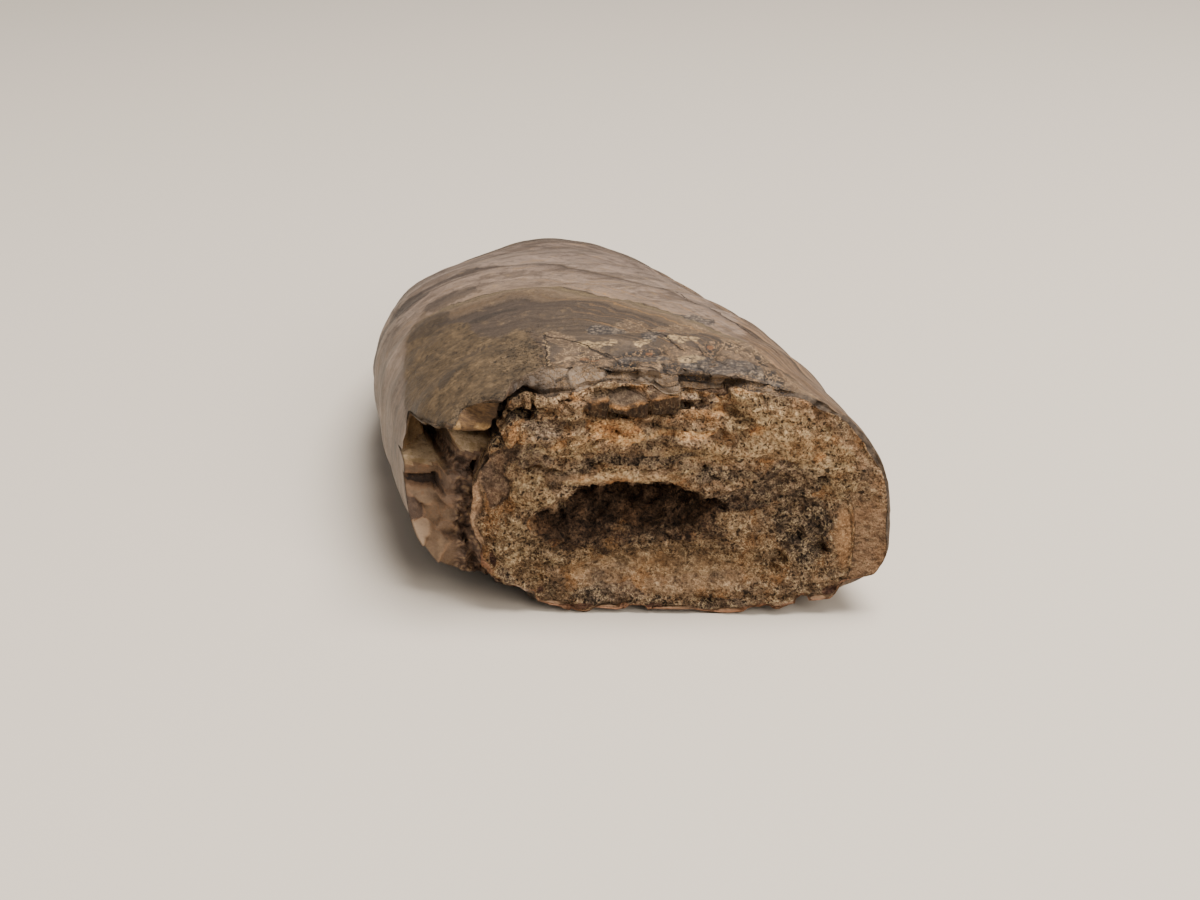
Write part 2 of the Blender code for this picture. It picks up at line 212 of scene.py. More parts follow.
def even_columns():
    """Angles that share the rim into like lengths, up to 1.6 times finer at the left."""
    fine = np.linspace(0, 2 * math.pi, 2881)
    rim_x, _, rim_z = outer_rim(fine)
    length = np.hypot(np.diff(rim_x), np.diff(rim_z))
    degrees = np.degrees(fine[1:])
    finer = within(degrees, 90, 125, 235, 265)
    run = np.concatenate([[0], np.cumsum(length * (1 + 0.6 * finer))])
    half = len(fine) // 2
    over = np.interp(np.linspace(0, run[half], COLUMNS // 2 + 1), run, fine)
    under = np.interp(np.linspace(run[half], run[-1], COLUMNS // 2 + 1), run, fine)
    return np.concatenate([over[:-1], under[:-1]])


def scattered(cells, seed):
    """Even number from 0 to 1 for each whole-numbered cell: its three numbers are
    multiplied by large odd ones, added, and folded into each other."""
    mixed = cells[..., 0] * 374761393 + cells[..., 1] * 668265263 + cells[..., 2] * 974634777
    mixed = (mixed + seed * 362437) & 0xFFFFFFFF
    mixed = ((mixed ^ (mixed >> 13)) * 1274126177) & 0xFFFFFFFF
    return ((mixed ^ (mixed >> 16)) & 0xFFFF) / 65535.0


def uneven(points, size, seed, octaves=3):
    """Smooth noise, about -1 to 1: scattered values a size apart are blended by S-curves
    along each axis, and each further octave is half as large and half as high."""
    total = np.zeros(points.shape[:-1])
    for octave in range(octaves):
        scaled = points * (2.0 ** octave / size) + 17.3 * (seed + octave)
        cell = np.floor(scaled).astype(np.int64)
        part = scaled - cell
        part = part * part * (3.0 - 2.0 * part)
        for corner in itertools.product((0, 1), repeat=3):
            weight = np.prod(np.where(corner, part, 1.0 - part), axis=-1)
            total += weight * (2.0 * scattered(cell + np.array(corner), seed) - 1.0) * 0.5 ** octave
    return total


def crumbs(points, size, seed):
    """Distance to the nearest scattered grain, one in each cell of a size, and how much
    farther the next one is, both in sizes; and the nearest grain's own number."""
    scaled = points / size
    cell = np.floor(scaled).astype(np.int64)
    nearest = np.full(points.shape[:-1], 9.0)
    second = nearest.copy()
    number = np.zeros_like(nearest)
    for offset in itertools.product((-1, 0, 1), repeat=3):
        there = cell + np.array(offset)
        grain = np.stack([scattered(there, seed + axis) for axis in range(3)], axis=-1)
        distance = np.linalg.norm(there + grain - scaled, axis=-1)
        second = np.minimum(second, np.maximum(distance, nearest))
        number = np.where(distance < nearest, scattered(there, seed + 7), number)
        nearest = np.minimum(nearest, distance)
    return nearest, second - nearest, number


def jagged(run, step, seed):
    """Broken line from -1 to 1 along a run: straight between heights drawn at uneven
    places about a step apart, and closed where the run ends."""
    draw = np.random.default_rng(seed)
    total = run.max() * (1 + 1 / len(run))
    gaps = draw.uniform(0.35, 1.65, int(total / step))
    places = np.cumsum(gaps) / gaps.sum() * total
    heights = draw.uniform(-1, 1, len(places))
    return np.interp(run, np.concatenate([[places[-1] - total], places]),
        np.concatenate([[heights[-1]], heights]))


def patch(x, z, spots):
    """Soft-edged ovals: 1 inside any of (centre x, centre z, half width, half height,
    turn in degrees), 0 a third beyond its edge."""
    inside = np.zeros_like(x)
    for centre_x, centre_z, half_x, half_z, turn in spots:
        cosine, sine = math.cos(math.radians(turn)), math.sin(math.radians(turn))
        along = ((x - centre_x) * cosine + (z - centre_z) * sine) / half_x
        over = ((z - centre_z) * cosine - (x - centre_x) * sine) / half_z
        inside = np.maximum(inside, rise(np.hypot(along, over), 1.3, 0.7))
    return inside


angle = even_columns()
rim_x, rim_y, rim_z = outer_rim(angle)
rim_run = np.concatenate([[0], np.cumsum(np.hypot(np.diff(rim_x), np.diff(rim_z)))])

# The core's edge, a little ragged all round
reach = around(angle, CORE_SHARE) + 0.006 * jagged(rim_run, 0.9, 3) + 0.008 * jagged(rim_run, 3.1, 4)
core_x = FACE_X + reach * (rim_x - FACE_X)
core_z = FACE_Z + reach * (rim_z - FACE_Z)

# The mouth of the pulp cavity on the break: the height of its upper and lower lip across
# the tooth, and how deep the hollow goes behind them
CAVITY_ACROSS = (-8.4, -7.6, -7.05, -6.3, -5.75, -5.45, -5, -3.9, -2.3, -0.5, 0.7, 2.3, 4.1, 5.4)
CAVITY_UPPER = (7.4, 8, 8.1, 7.6, 7.8, 8.95, 9.4, 9.75, 9.95, 9.85, 10.3, 9.6, 8.9, 8.3)
CAVITY_LOWER = (7.2, 6.3, 5.8, 5.6, 5.5, 5.5, 5.5, 5.5, 5.7, 5.8, 5.9, 6.2, 7, 7.9)
CAVITY_DEPTH = (0, 0.7, 1.4, 2.2, 2.9, 3.2, 3.7, 4.7, 5.4, 6, 6.2, 4.2, 1.3, 0)

# Blocks of dentine left standing under the upper edge: x of their corners from left to
# right, the height there of the foot, of the ridge of the front and of the top, and how
# far the front stands out
BLOCKS = (((-4.4, -3.8, -3.0), (15.15, 14.85, 14.8), (15.95, 15.95, 16.15), (16.1, 16.2, 16.45), 0.35),
          ((-2.95, -2.1, -1.1, -0.62), (15.45, 15.2, 15.0, 15.1), (15.84, 15.7, 16.1, 16.15),
           (16.45, 16.8, 16.6, 16.45), 0.8),
          ((-0.5, 0.5, 1.1, 1.46), (15.3, 15.3, 15.25, 15.3), (16.32, 16.57, 16.77, 16.6),
           (16.5, 16.8, 17.0, 16.8), 0.85))
# Pits: x, z, half width, half height, turn in degrees, and depth
PITS = ((2.5, 15.3, 0.36, 0.34, 0, 1), (4.2, 16.05, 0.32, 0.26, 20, 0.8), (5.2, 17, 0.6, 0.4, 20, 1),
    (3.3, 15.8, 0.25, 0.5, 0, 0.5), (10.5, 16.4, 0.2, 0.4, -20, 0.9), (10.5, 15.35, 0.2, 0.3, 0, 0.6),
    (11.2, 14.1, 0.35, 0.3, 20, 0.5), (3.54, 11.05, 0.4, 0.34, 0, 0.7), (4.1, 10.35, 0.45, 0.2, 0, 0.5),
    (11, 10.15, 0.5, 0.28, 15, 0.7), (9, 8.9, 1.1, 0.14, 0, 0.45), (8.1, 3.4, 0.3, 0.24, 30, 0.6),
    (8.8, 4.2, 0.22, 0.36, 30, 0.5), (11.4, 5.1, 0.5, 0.5, 0, 0.5), (-3.74, 11.27, 0.6, 0.27, -10, 0.8),
    (-4.39, 12.45, 0.55, 0.22, -15, 0.55), (-4.85, 11.75, 0.7, 0.24, -5, 0.45),
    (-7.3, 10.9, 1.25, 0.32, -8, 0.75), (-2.4, 14, 0.2, 0.14, -30, 0.6), (2.95, 13.1, 0.15, 0.12, 0, 0.5),
    (2.35, 13.05, 0.13, 0.12, 0, 0.5), (-8.5, 15.3, 0.95, 0.55, 25, 1.3), (-0.3, 10.9, 0.5, 0.2, 10, 0.4),
    (-5.9, 15.9, 0.7, 0.3, 30, 0.7))
# Low swellings and hollows: x, z, half width, half height, and depth, below 0 for a swelling
LOW_FORMS = ((9.2, 7.4, 3.2, 3.6, 0.9), (-10.6, 10, 1.3, 3.2, 0.6), (-1, 12.1, 5.4, 0.75, 0.5),
    (-7, 9.15, 2.2, 0.5, -0.45), (-2, 10.5, 3.5, 0.35, -0.35), (7, 15, 1.8, 1.1, -0.45),
    (0, 3.6, 7.5, 1.5, 0.35), (-8.8, 5, 1.8, 1.9, -0.3), (12.4, 5.8, 0.7, 2.4, -0.35),
    (6.5, 12.6, 2.5, 0.8, -0.3), (-8.4, 13.6, 2, 0.6, -0.4))


def cavity_lips(x):
    """Heights of the cavity's lower and upper lip across the tooth."""
    return np.interp(x, CAVITY_ACROSS, CAVITY_LOWER), np.interp(x, CAVITY_ACROSS, CAVITY_UPPER)


def cavity_depth(x, z):
    """How deep the pulp cavity is behind a place on the break: the floor slopes down from
    the lower lip, and the wall under the upper lip is steep."""
    lower, upper = cavity_lips(x)
    share_up = (z - lower) / np.maximum(upper - lower, 0.2)
    floor = np.clip(share_up / 0.72, 0, 1) ** 0.85
    roof = np.clip((1 - share_up) / 0.12, 0, 1) ** 0.6
    return np.interp(x, CAVITY_ACROSS, CAVITY_DEPTH) * np.minimum(floor, roof)


def with_blocks(x, z, depth):
    """The depth with the blocks in it: flat fronts, tops that run back 2.2 times as far as
    they rise, and steep sides. Also how much of a place is block, its ridge and its top."""
    covered, ridged, topped = np.zeros_like(x), np.zeros_like(x), np.zeros_like(x)
    for across, foot, ridge, top, proud in BLOCKS:
        above_ridge = z - np.interp(x, across, ridge)
        inside = np.minimum(z - np.interp(x, across, foot), np.interp(x, across, top) - z)
        inside = np.minimum(inside, np.minimum(x - across[0], across[-1] - x))
        share = rise(inside, -0.07, 0.07)
        depth += share * (2.2 * np.maximum(above_ridge, 0) - proud - depth)
        covered = np.maximum(covered, share)
        ridged = np.maximum(ridged, share * bell(above_ridge - 0.03, 0.08))
        topped = np.maximum(topped, share * rise(above_ridge, 0, 0.12))
    return depth, covered, ridged, topped


def face_depth(x, z):
    """How far the broken face lies behind its plane: the cavity, low swellings and hollows
    as bell curves, a lumpy shelf, blocks and pits. Also the cavity, the blocks and ridges."""
    place = np.stack([x, 0 * x, z], axis=-1)
    warp_x = x + 0.3 * uneven(place, 1.6, 11)
    warp_z = z + 0.25 * uneven(place, 1.4, 12)
    cavity = cavity_depth(warp_x, warp_z)
    depth = np.zeros_like(x)
    for centre_x, centre_z, half_x, half_z, height in LOW_FORMS:
        depth += height * bell(x - centre_x, half_x) * bell(z - centre_z, half_z)
    shelf_top = 14.9 + 0.2 * uneven(place, 2.2, 13) - 0.02 * (x + 0.6) ** 2
    shelf_foot = 13.1 + 0.25 * uneven(place, 1.8, 14) - 0.03 * (x + 0.6) ** 2
    in_shelf = within(warp_z, shelf_foot - 0.2, shelf_foot, shelf_top - 0.1, shelf_top + 0.2)
    depth -= 0.45 * in_shelf * within(warp_x, -4.6, -3.8, 3.4, 4.4)
    recess = rise(warp_z, 14.7, 15.2) * within(x, -5.2, -4, 5, 6)
    depth += 0.75 * recess
    for *pit, deep in PITS:
        depth += deep * patch(warp_x, warp_z, [pit])
    depth, covered, ridged, topped = with_blocks(x, z, depth + cavity)
    return depth, cavity, covered, ridged, topped


def facet_back(x, z):
    """How far the split surface stands behind the break: each place lies in the plane of
    the nearest facet, with a thin pillar left standing in the pocket under the crust and
    a round hole beside the core."""
    place = np.stack([x, 0 * x, z], axis=-1)
    warp_x, warp_z = x + 0.15 * uneven(place, 0.8, 15), z + 0.15 * uneven(place, 0.8, 16)
    facets = np.array(FACETS)
    away = (warp_x[..., None] - facets[:, 0]) ** 2 + (warp_z[..., None] - facets[:, 1]) ** 2
    near = np.argmin(away, axis=-1)
    back = (facets[near, 2] + facets[near, 3] * (x - facets[near, 0]) + facets[near, 4]
        * (z - facets[near, 1]))
    pillar = bell(x + 12.35 + 0.1 * (z - 11), 0.3) * rise(z, 9.6, 10.2)
    back = back + pillar * np.minimum(4.8 - back, 0)
    rough = 0.45 * uneven(place, 0.8, 17) * rise(x, -13.2, -12.2) * rise(z, 11.2, 10.2)
    hole = 2.5 * rise(np.hypot(x + 11.1, z - 9.7), 0.5, 0.25)
    nearest_two = np.sqrt(np.partition(away, 1, axis=-1)[..., :2])
    return back + rough + hole, facets[near, 5], facets[near, 6], nearest_two[..., 1] - nearest_two[..., 0]


core_depth = face_depth(core_x, core_z)[0]
core_y = break_plane(core_x) + core_depth

# Face: straight lines from a short seam in the middle of the tooth out to the core's edge
SEAM_SHARE, SEAM_HEIGHT = 0.6, 8.2
across_pair = 0.5 * (core_x + np.roll(core_x[::-1], 1))
seam_x = FACE_X + SEAM_SHARE * (across_pair - FACE_X)
outward = np.linspace(0, 1, FACE_ROWS + 1)[:, None]
face_x = seam_x + outward * (core_x - seam_x)
face_z = SEAM_HEIGHT + outward * (core_z - SEAM_HEIGHT)
hollow, in_cavity, in_block, on_ridge, on_top = face_depth(face_x, face_z)
face_y = break_plane(face_x) + hollow
face_z = face_z + 0.22 * in_cavity * rise(face_z, 6, 9)
face = np.stack([face_x, face_y, face_z], axis=-1)

# Step: from the core's edge back to its foot, over the ledge and out to the shell
edge_back = around(angle, SHELL_BACK) + 0.28 * jagged(rim_run, 1.3, 5)
edge_y = rim_y + edge_back
edge_x, edge_z = outer_section(edge_y, angle)
column_degrees = np.degrees(angle)
split_edge = within(column_degrees, 165, 172, 238, 248)
for _ in range(6):
    split_y = break_plane(edge_x) + facet_back(edge_x, edge_z)[0]
    edge_y = (rim_y + edge_back) * (1 - split_edge) + split_edge * split_y
    edge_x, edge_z = outer_section(edge_y, angle)
foot_y = core_y + around(angle, FOOT_BACK)
ledge_y = core_y + around(angle, LEDGE_BACK)
foot_share, ledge_share = around(angle, FOOT_SHARE), around(angle, LEDGE_SHARE)
bend_y = np.stack([core_y, foot_y, foot_y, 0.4 * foot_y + 0.6 * ledge_y, ledge_y, edge_y])
bend_share = np.stack([0 * angle, *(foot_share + part * (ledge_share - foot_share)
    for part in BETWEEN_THEM), 0 * angle + 1])
rows = np.arange(STEP_ROWS + 1)
between = np.interp(rows, STEP_BENDS, np.arange(len(STEP_BENDS)))
lower_bend = np.minimum(between.astype(int), len(STEP_BENDS) - 2)
past = (between - lower_bend)[:, None]
step_y = bend_y[lower_bend] * (1 - past) + bend_y[lower_bend + 1] * past
outward = bend_share[lower_bend] * (1 - past) + bend_share[lower_bend + 1] * past
step_x = core_x + outward * (edge_x - core_x)
step_z = core_z + outward * (edge_z - core_z)
back_of_split, paleness, goldness, facet_gap = facet_back(step_x, step_z)
in_split = within(column_degrees, 146, 151, 240, 250)
in_split = in_split * rise(rows, STEP_BENDS[1] - 1, STEP_BENDS[1] + 2)[:, None]
in_split = in_split * (1 - rise(outward, 0.86, 1) * (1 - split_edge))
step_y = step_y + in_split * (break_plane(step_x) + back_of_split - step_y)
step = np.stack([step_x, step_y, step_z], axis=-1)

# Shell: rows close together at the break and at the tip
gap = np.interp(np.linspace(0, 1, SHELL_ROWS), (0, 0.12, 0.6, 0.85, 1), (0.15, 0.25, 1.3, 1.1, 0.12))
along = np.concatenate([[0], np.cumsum(gap) / gap.sum()])[:, None]
shell_y = edge_y + (0.5 * LENGTH - edge_y) * along
shell_x, shell_z = outer_section(shell_y, angle[None, :])
shell = np.stack([shell_x, shell_y, shell_z], axis=-1)

# The whole grid, with the notches of its lower edge, which fade out behind the break
NOTCHED_BELOW = 4.5
grid = np.concatenate([face, step[1:], shell[1:]])
x, y, z = np.moveaxis(grid, -1, 0)
behind = y - break_plane(x)
notch_length = 1.6 + 1.2 * uneven(np.stack([x, 0 * x, 0 * x], axis=-1), 1.3, 6)
notched = rise(behind, notch_length + 0.4, 0.4)
longer = within(-x, 7.8, 8.6, 9.6, 10.6)
notched = np.maximum(notched, longer * rise(behind, 4, 2.6))
notched[:FACE_ROWS // 2] = 0
grid[..., 2] = np.where(z < NOTCHED_BELOW, np.maximum(z, np.interp(x, *LOWER_EDGE) * notched), z)
FIRST_SHELL_ROW = FACE_ROWS + STEP_ROWS
LAST_ROW = FIRST_SHELL_ROW + SHELL_ROWS
HALF = COLUMNS // 2


def once_each(values):
    """The grid as a list: half of the first row, which its two sides share, then the
    whole rows, then the tip."""
    middle = values[1:-1].reshape((-1,) + values.shape[2:])
    return np.concatenate([values[0, :HALF + 1], middle, values[-1, :1]])


column = np.arange(COLUMNS)
number = HALF + 1 + np.arange((LAST_ROW - 1) * COLUMNS).reshape(LAST_ROW - 1, COLUMNS)
seam_number = np.minimum(column, COLUMNS - column)[None, :]
tip_number = np.full((1, COLUMNS), number[-1, -1] + 1)
number = np.concatenate([seam_number, number, tip_number])
quads = np.stack([number[:-1], np.roll(number[:-1], -1, axis=1), np.roll(number[1:], -1, axis=1),
    number[1:]], axis=-1).reshape(-1, 4)


def outward_normals(points):
    """Each point's normal: the crossed diagonals of its four-sided faces, added up."""
    corner = points[quads]
    crossed = np.cross(corner[:, 2] - corner[:, 0], corner[:, 3] - corner[:, 1])
    total = np.zeros_like(points)
    for side in range(4):
        np.add.at(total, quads[:, side], crossed)
    return total / np.maximum(np.linalg.norm(total, axis=1), 1e-12)[:, None]


def on_rows(first_row, values, after=0):
    """Values of some rows of the mesh, listed once each: 0 in the rows before them, and
    another value in the rows after them."""
    whole = np.zeros((LAST_ROW + 1, COLUMNS))
    whole[first_row:first_row + len(values)] = values
    whole[first_row + len(values):] = after
    return once_each(whole)


def in_columns(values):
    """One value of each column, listed for all of its points."""
    return once_each(np.tile(values, (LAST_ROW + 1, 1)))


points = once_each(grid)
row = on_rows(0, np.arange(LAST_ROW + 1)[:, None])
turn, ledge_of = in_columns(column_degrees), in_columns(ledge_share)
out_share = on_rows(FACE_ROWS, outward, 1)
in_hollow, block = on_rows(0, in_cavity), on_rows(0, in_block)
# Zones: a value of each point under a name, by which the finishes read it
zones = {"block": block, "block_ridge": on_rows(0, on_ridge), "block_top": on_rows(0, on_top),
    "pale_facet": on_rows(FACE_ROWS, paleness), "gold_facet": on_rows(FACE_ROWS, goldness),
    "facet_edge": on_rows(FACE_ROWS, bell(facet_gap, 0.16))}
inset = once_each(np.linalg.norm(grid - grid[FACE_ROWS], axis=-1))
around_run = in_columns(2 * math.pi * rim_run / (rim_run[-1] + rim_run[1]))
# The layers' noise is taken from a ring, so that it closes round the edge
LAYER_RING = 4.7
layers_at = np.stack([LAYER_RING * np.cos(around_run), LAYER_RING * np.sin(around_run), 1.5 * inset],
    axis=-1)
x, y, z = points.T
normals = outward_normals(points)
if np.mean(np.sum(normals * (points - points.mean(0)), axis=1)) < 0:
    quads = quads[:, ::-1]
    normals = -normals

on_face = rise(row, FACE_ROWS + 2, FACE_ROWS)
on_shell = rise(row, FIRST_SHELL_ROW - 1, FIRST_SHELL_ROW)
on_step = np.clip(1 - on_face - on_shell, 0, 1)

# Zones of the broken face, in millimetres across it and up
warp = 0.45 * np.stack([uneven(points, 1.9, 21), uneven(points, 1.9, 22)])
ON_BREAK = {
    "ash": [(9.2, 10, 2.6, 1.5, 5), (10.1, 6.7, 1.8, 2.3, 15), (6.3, 8.6, 2, 0.8, 0), (5, 10.4, 2, 0.6, 8),
        (-1.5, 11.6, 4.5, 0.35, 4)],
    # A dark brown patch of the stone at the left, and a strip of painted shade under the enamel's upper
    # edge
    "umber_and_edge_shade": [(-10.3, 10.3, 0.95, 2.3, -8), (2.9, 16.8, 3.2, 0.32, 0)],
    "rust": [(-2, 13.85, 1.6, 0.7, -2), (-3.7, 14.1, 0.8, 0.55, 0), (1.9, 13.85, 1.9, 0.35, 2),
        (-3.4, 14.85, 0.5, 0.14, 0), (-4.6, 15.2, 0.35, 0.2, 0), (-6.15, 13.4, 0.5, 0.35, 30),
        (4.3, 15.2, 0.55, 0.4, 0), (6.1, 16.6, 0.8, 0.22, -5), (6.9, 13.7, 0.65, 0.4, 0),
        (10.8, 12.3, 0.4, 0.4, 0), (-7.9, 6.6, 0.35, 0.45, 0), (-6.6, 5.4, 0.5, 0.45, 0),
        (-9.6, 15.9, 0.4, 0.2, 20)],
    "gold": [(-5.5, 4.6, 3.8, 1.3, 0), (1.5, 4.3, 4.5, 1.5, 0), (4.5, 6.8, 2.2, 1.2, -10),
        (7.6, 4.2, 1.6, 1.2, 0), (-8.3, 3.6, 1.5, 1.2, -30), (-9.2, 12.4, 1, 0.6, 0)],
    "cream": [(8.2, 13.6, 3.8, 1.9, -25), (11.9, 11, 1.3, 2.2, 12), (6, 15.9, 1, 0.8, 0),
        (-8, 9.3, 1.5, 1.3, -20), (-5.5, 12.9, 2, 0.7, 0), (-5.7, 14.65, 0.5, 0.28, 20),
        (-2, 10.5, 4.5, 0.4, 3), (3.2, 12.3, 2.6, 0.8, 0), (-9.3, 5.4, 1, 1.7, -15)],
    "greyed": [(-2.9, 1.6, 2.4, 0.6, 0), (-10, 3, 0.8, 0.45, -40), (4.8, 0.6, 1.6, 0.5, 0),
        (11.5, 1.3, 1.8, 0.6, 15), (2.9, 15.6, 1.2, 0.6, 0), (-8.3, 12.2, 1.7, 0.9, -10),
        (-7, 14.3, 1.4, 0.5, 15)],
    # Patches of painted shade beside the pulp cavity, laid into the cavity's dark zone
    "shade": [(6.2, 8.3, 1.9, 0.55, -8), (3.5, 6.4, 1, 0.7, 0), (-5.8, 6.2, 1.5, 0.9, 0)],
    # Near-black painted shade in the hollows under the crust's broken lip
    "pocket_shade": [(-8.6, 15, 1.3, 0.7, 25), (-10.4, 13.2, 0.5, 0.7, 0)],
}
for name, spots in ON_BREAK.items():
    zones[name] = patch(x + warp[0], z + warp[1], spots) * on_face
ring_run = x + 0.04 * (z - 6) ** 2
ring = rise(ring_run - 0.1 * warp[0], 13.25, 13.5) * rise(z, 9.8, 8.2)
ring = np.maximum(ring, 0.4 * rise(inset + 0.6 * warp[0], 1, 0.75) * rise(x, 9.5, 11.5)) * on_face
strip = patch(x, z, [(12.7, 5.9, 0.6, 2.5, 0)]) * (1 - ring) * on_face
inner_line = bell(ring_run - 13.35, 0.13) * on_face
zones["rust"] = np.maximum(zones["rust"], 0.9 * inner_line * within(z, 3, 4, 8.2, 9))
garnet = ((1 - on_shell) * patch(x, z, [(-4.9, 0.55, 0.9, 0.26, 8), (0.15, 0.62, 0.55, 0.2, 0),
    (-10.7, 4.3, 0.2, 0.5, 12), (11.9, 1.95, 0.5, 0.3, 25), (-7.6, 1.75, 0.2, 0.3, -30)]))
flake = (patch(x, z, [(-3, 0.45, 0.9, 0.26, 0), (1.5, 0.42, 1.5, 0.2, 0), (5.1, 0.22, 1, 0.34, 5),
    (11.2, 1.35, 0.7, 0.26, 8), (-6.8, 0.75, 0.8, 0.25, 0)]) * on_face)
right_turn = np.mod(turn + 180, 360) - 180
low_edge = rise(inset + 0.2 * warp[1], 0.17, 0.04) * within(turn, 203, 209, 322, 332)
pale_rim = rise(inset + 1.1 * warp[0], 0.8, 0.25) * within(turn, 150, 158, 196, 206) * on_face
# Painted shade in the pulp cavity: a dark zone over its dark brown stone, from about the lower lip up to
# just under the upper lip
lower_lip, upper_lip = cavity_lips(x)
cavity_dark_and_shade = (z - lower_lip) / np.maximum(upper_lip - lower_lip, 3.2) + 0.35 * uneven(points, 1.3, 41)
cavity_dark_and_shade = rise(cavity_dark_and_shade, -0.5, 0.2) * rise(z - upper_lip, 0.25, -0.1)
cavity_dark_and_shade = cavity_dark_and_shade * within(x, -9, -7.6, 4, 6.6) * on_face

# Relief: spongy pits and lumps on the break, low unevenness on the enamel
smooth_band = patch(x, z, [(-2.6, 10.45, 4.2, 0.5, 3), (0.5, 3, 6.5, 1.6, 0)])
calm = np.maximum.reduce([0.85 * zones["umber_and_edge_shade"], 0.8 * ring, 0.7 * strip, 0.4 * zones["rust"],
    0.55 * smooth_band, 0.9 * block, 0.8 * pale_rim, 0.9 * flake])
sponge = on_face * (1 - calm)
grain, _, _ = crumbs(points + 0.25 * np.stack([warp[0], 0 * x, warp[1]], axis=-1), 0.8, 31)
pit = np.clip(1 - grain / 0.55, 0, 1) * rise(uneven(points, 2.4, 32), 0, 0.7)
strings = 1 - 2 * np.abs(uneven(points * np.array([0.65, 1, 1.3]), 0.95, 34, 2))
fibres = 1 - 2 * np.abs(uneven(points, 0.5, 40, 2))
in_thirds = 3 * uneven(layers_at, 1, 30)
ledges = (np.floor(in_thirds) + rise(in_thirds - np.floor(in_thirds), 0, 0.25)) / 3
in_layers = on_face * rise(z, 10.5, 13) * rise(x, 7, 4) * rise(inset, 5.5, 3.5) * (1 - calm)
relief = on_face * (1 - 0.8 * np.maximum(calm, block)) * 0.28 * uneven(points, 2.8, 33)
relief += (sponge * (0.16 * strings + 0.1 * fibres - 0.4 * pit * (1 - 0.6 * in_layers))
    + 0.55 * in_layers * ledges)
rough_hollow = rise(in_hollow, 0.2, 2.6)
relief += rough_hollow * (0.5 * uneven(points, 1.3, 35) - 0.2 * pit)
scarp = on_step * within(turn, 56, 64, 118, 124)
spalled = on_step * within(turn, 144, 150, 244, 252)
coarse_lumps, fine_lumps = uneven(points, 1.5, 36), uneven(points, 0.6, 37)
relief += scarp * (0.16 * uneven(points * np.array([1.5, 0.8, 0.5]), 0.9, 36) + 0.06 * fine_lumps)
relief += spalled * (0.07 * coarse_lumps + 0.02 * fine_lumps)
relief += (on_step - scarp - spalled) * (0.12 * coarse_lumps + 0.05 * fine_lumps)
enamel_calm = 1 - 0.6 * rise(row, FIRST_SHELL_ROW, FIRST_SHELL_ROW + 10)
relief += on_shell * (0.07 * uneven(points, 5, 38) + 0.02 * enamel_calm * uneven(points, 1.1, 39))
plates_at = points * np.array([0.8, 0.7, 1]) + 0.6 * np.stack([warp[0], warp[1], 0 * x], axis=-1)
_, plate_gap, plate_number = crumbs(plates_at, 1.4, 61)
shattered = within(turn, 54, 64, 106, 111) * np.clip(on_shell + on_step * out_share, 0, 1)
shattered = shattered * rise(y + 0.8 * uneven(points, 2, 53), -28, -30)
relief += shattered * (0.42 * (plate_number - 0.6) - 0.15 * rise(plate_gap, 0.1, 0))
lip_roll = within(turn, 118, 124, 158, 164) * on_shell
LIP_ROWS = 12
behind_edge = np.clip(row - FIRST_SHELL_ROW, 0, LIP_ROWS)
relief -= 0.4 * lip_roll * (1 - behind_edge / LIP_ROWS) ** 3

# Growth bands of the enamel run round the tooth, and drift forward on its right side
growth = (y + np.interp(x, (-5.3, -1.9, 0.7, 3.3, 6.3, 7.6, 9.4, 10.9, 13, 15.8),
    (0, 1.9, 4.6, 8.8, 12.6, 14.8, 20.6, 25.3, 33, 44)))
growth += 0.8 * uneven(points, 6, 51)
relief -= 0.16 * on_shell * within(growth, -10.4, -9.9, -9.5, -5)
raised_crust = rise(turn + 2 * uneven(points, 1.5, 54), 104.5, 106.5) * rise(turn, 165, 150)
relief += 0.16 * on_shell * raised_crust * rise(y, -18, -25)
points = points + normals * relief[:, None]
points[:, 2] = np.maximum(points[:, 2], 0)

# Zones of the enamel, in millimetres across the tooth and along it
ON_ENAMEL = {
    "smudge": [(-10.2, -23.4, 1.9, 0.35, 8), (-12.3, -25.6, 1.2, 0.5, 60), (-7.6, -17, 2.5, 0.7, 0),
        (-11.6, -13, 1.5, 1.6, 30), (-8.6, -8, 2.6, 1.6, 10), (-11.4, -2, 1.6, 2.6, 0)],
    "slate": [(-0.5, -24.7, 1.7, 1.1, 0), (1.9, -27, 0.8, 1.5, -30), (3.7, -32.2, 1.3, 1.3, 0),
        (4.6, -34.2, 1.3, 0.9, 0), (6.4, -33.2, 1.4, 1.4, 0), (7.6, -35, 1.2, 0.6, -20),
        (0.2, -30.6, 1.6, 0.7, -25), (-4.7, -32.8, 1.4, 1, 0), (-2.4, -32.4, 0.8, 0.6, 0),
        (6.8, -22.5, 1.5, 0.9, -30)],
    "flecks": [(-2.3, -27.5, 1.7, 0.6, -15), (0.6, -28, 0.9, 0.6, 0), (3.8, -28.3, 1.3, 0.5, 0),
        (3.4, -31.6, 1.2, 0.9, 0)],
    "fawn": [(-3.4, -28.6, 1.6, 1.6, 0), (-4.4, -25.5, 0.9, 2.2, 0), (1.6, -24.2, 1.1, 1.6, 0),
        (4.6, -25.6, 2, 1.6, 0), (8.4, -29.6, 1.8, 1.3, -30), (9, -35, 2.4, 1.6, -20)],
    "orange": [(-3.4, -29, 0.35, 0.16, 0), (-2.7, -29.4, 0.5, 0.14, -25), (0.9, -29.6, 0.25, 0.14, 0),
        (5.3, -29.2, 0.5, 0.12, 0), (3, -25.7, 0.5, 0.12, -20)],
}
for name, spots in ON_ENAMEL.items():
    zones[name] = patch(x + 1.2 * warp[0], y + 1.2 * warp[1], spots) * on_shell
crust = on_shell * rise(turn, 103, 109) * rise(turn + 1.3 * np.clip(y + 14, -14, 6), 153, 144)
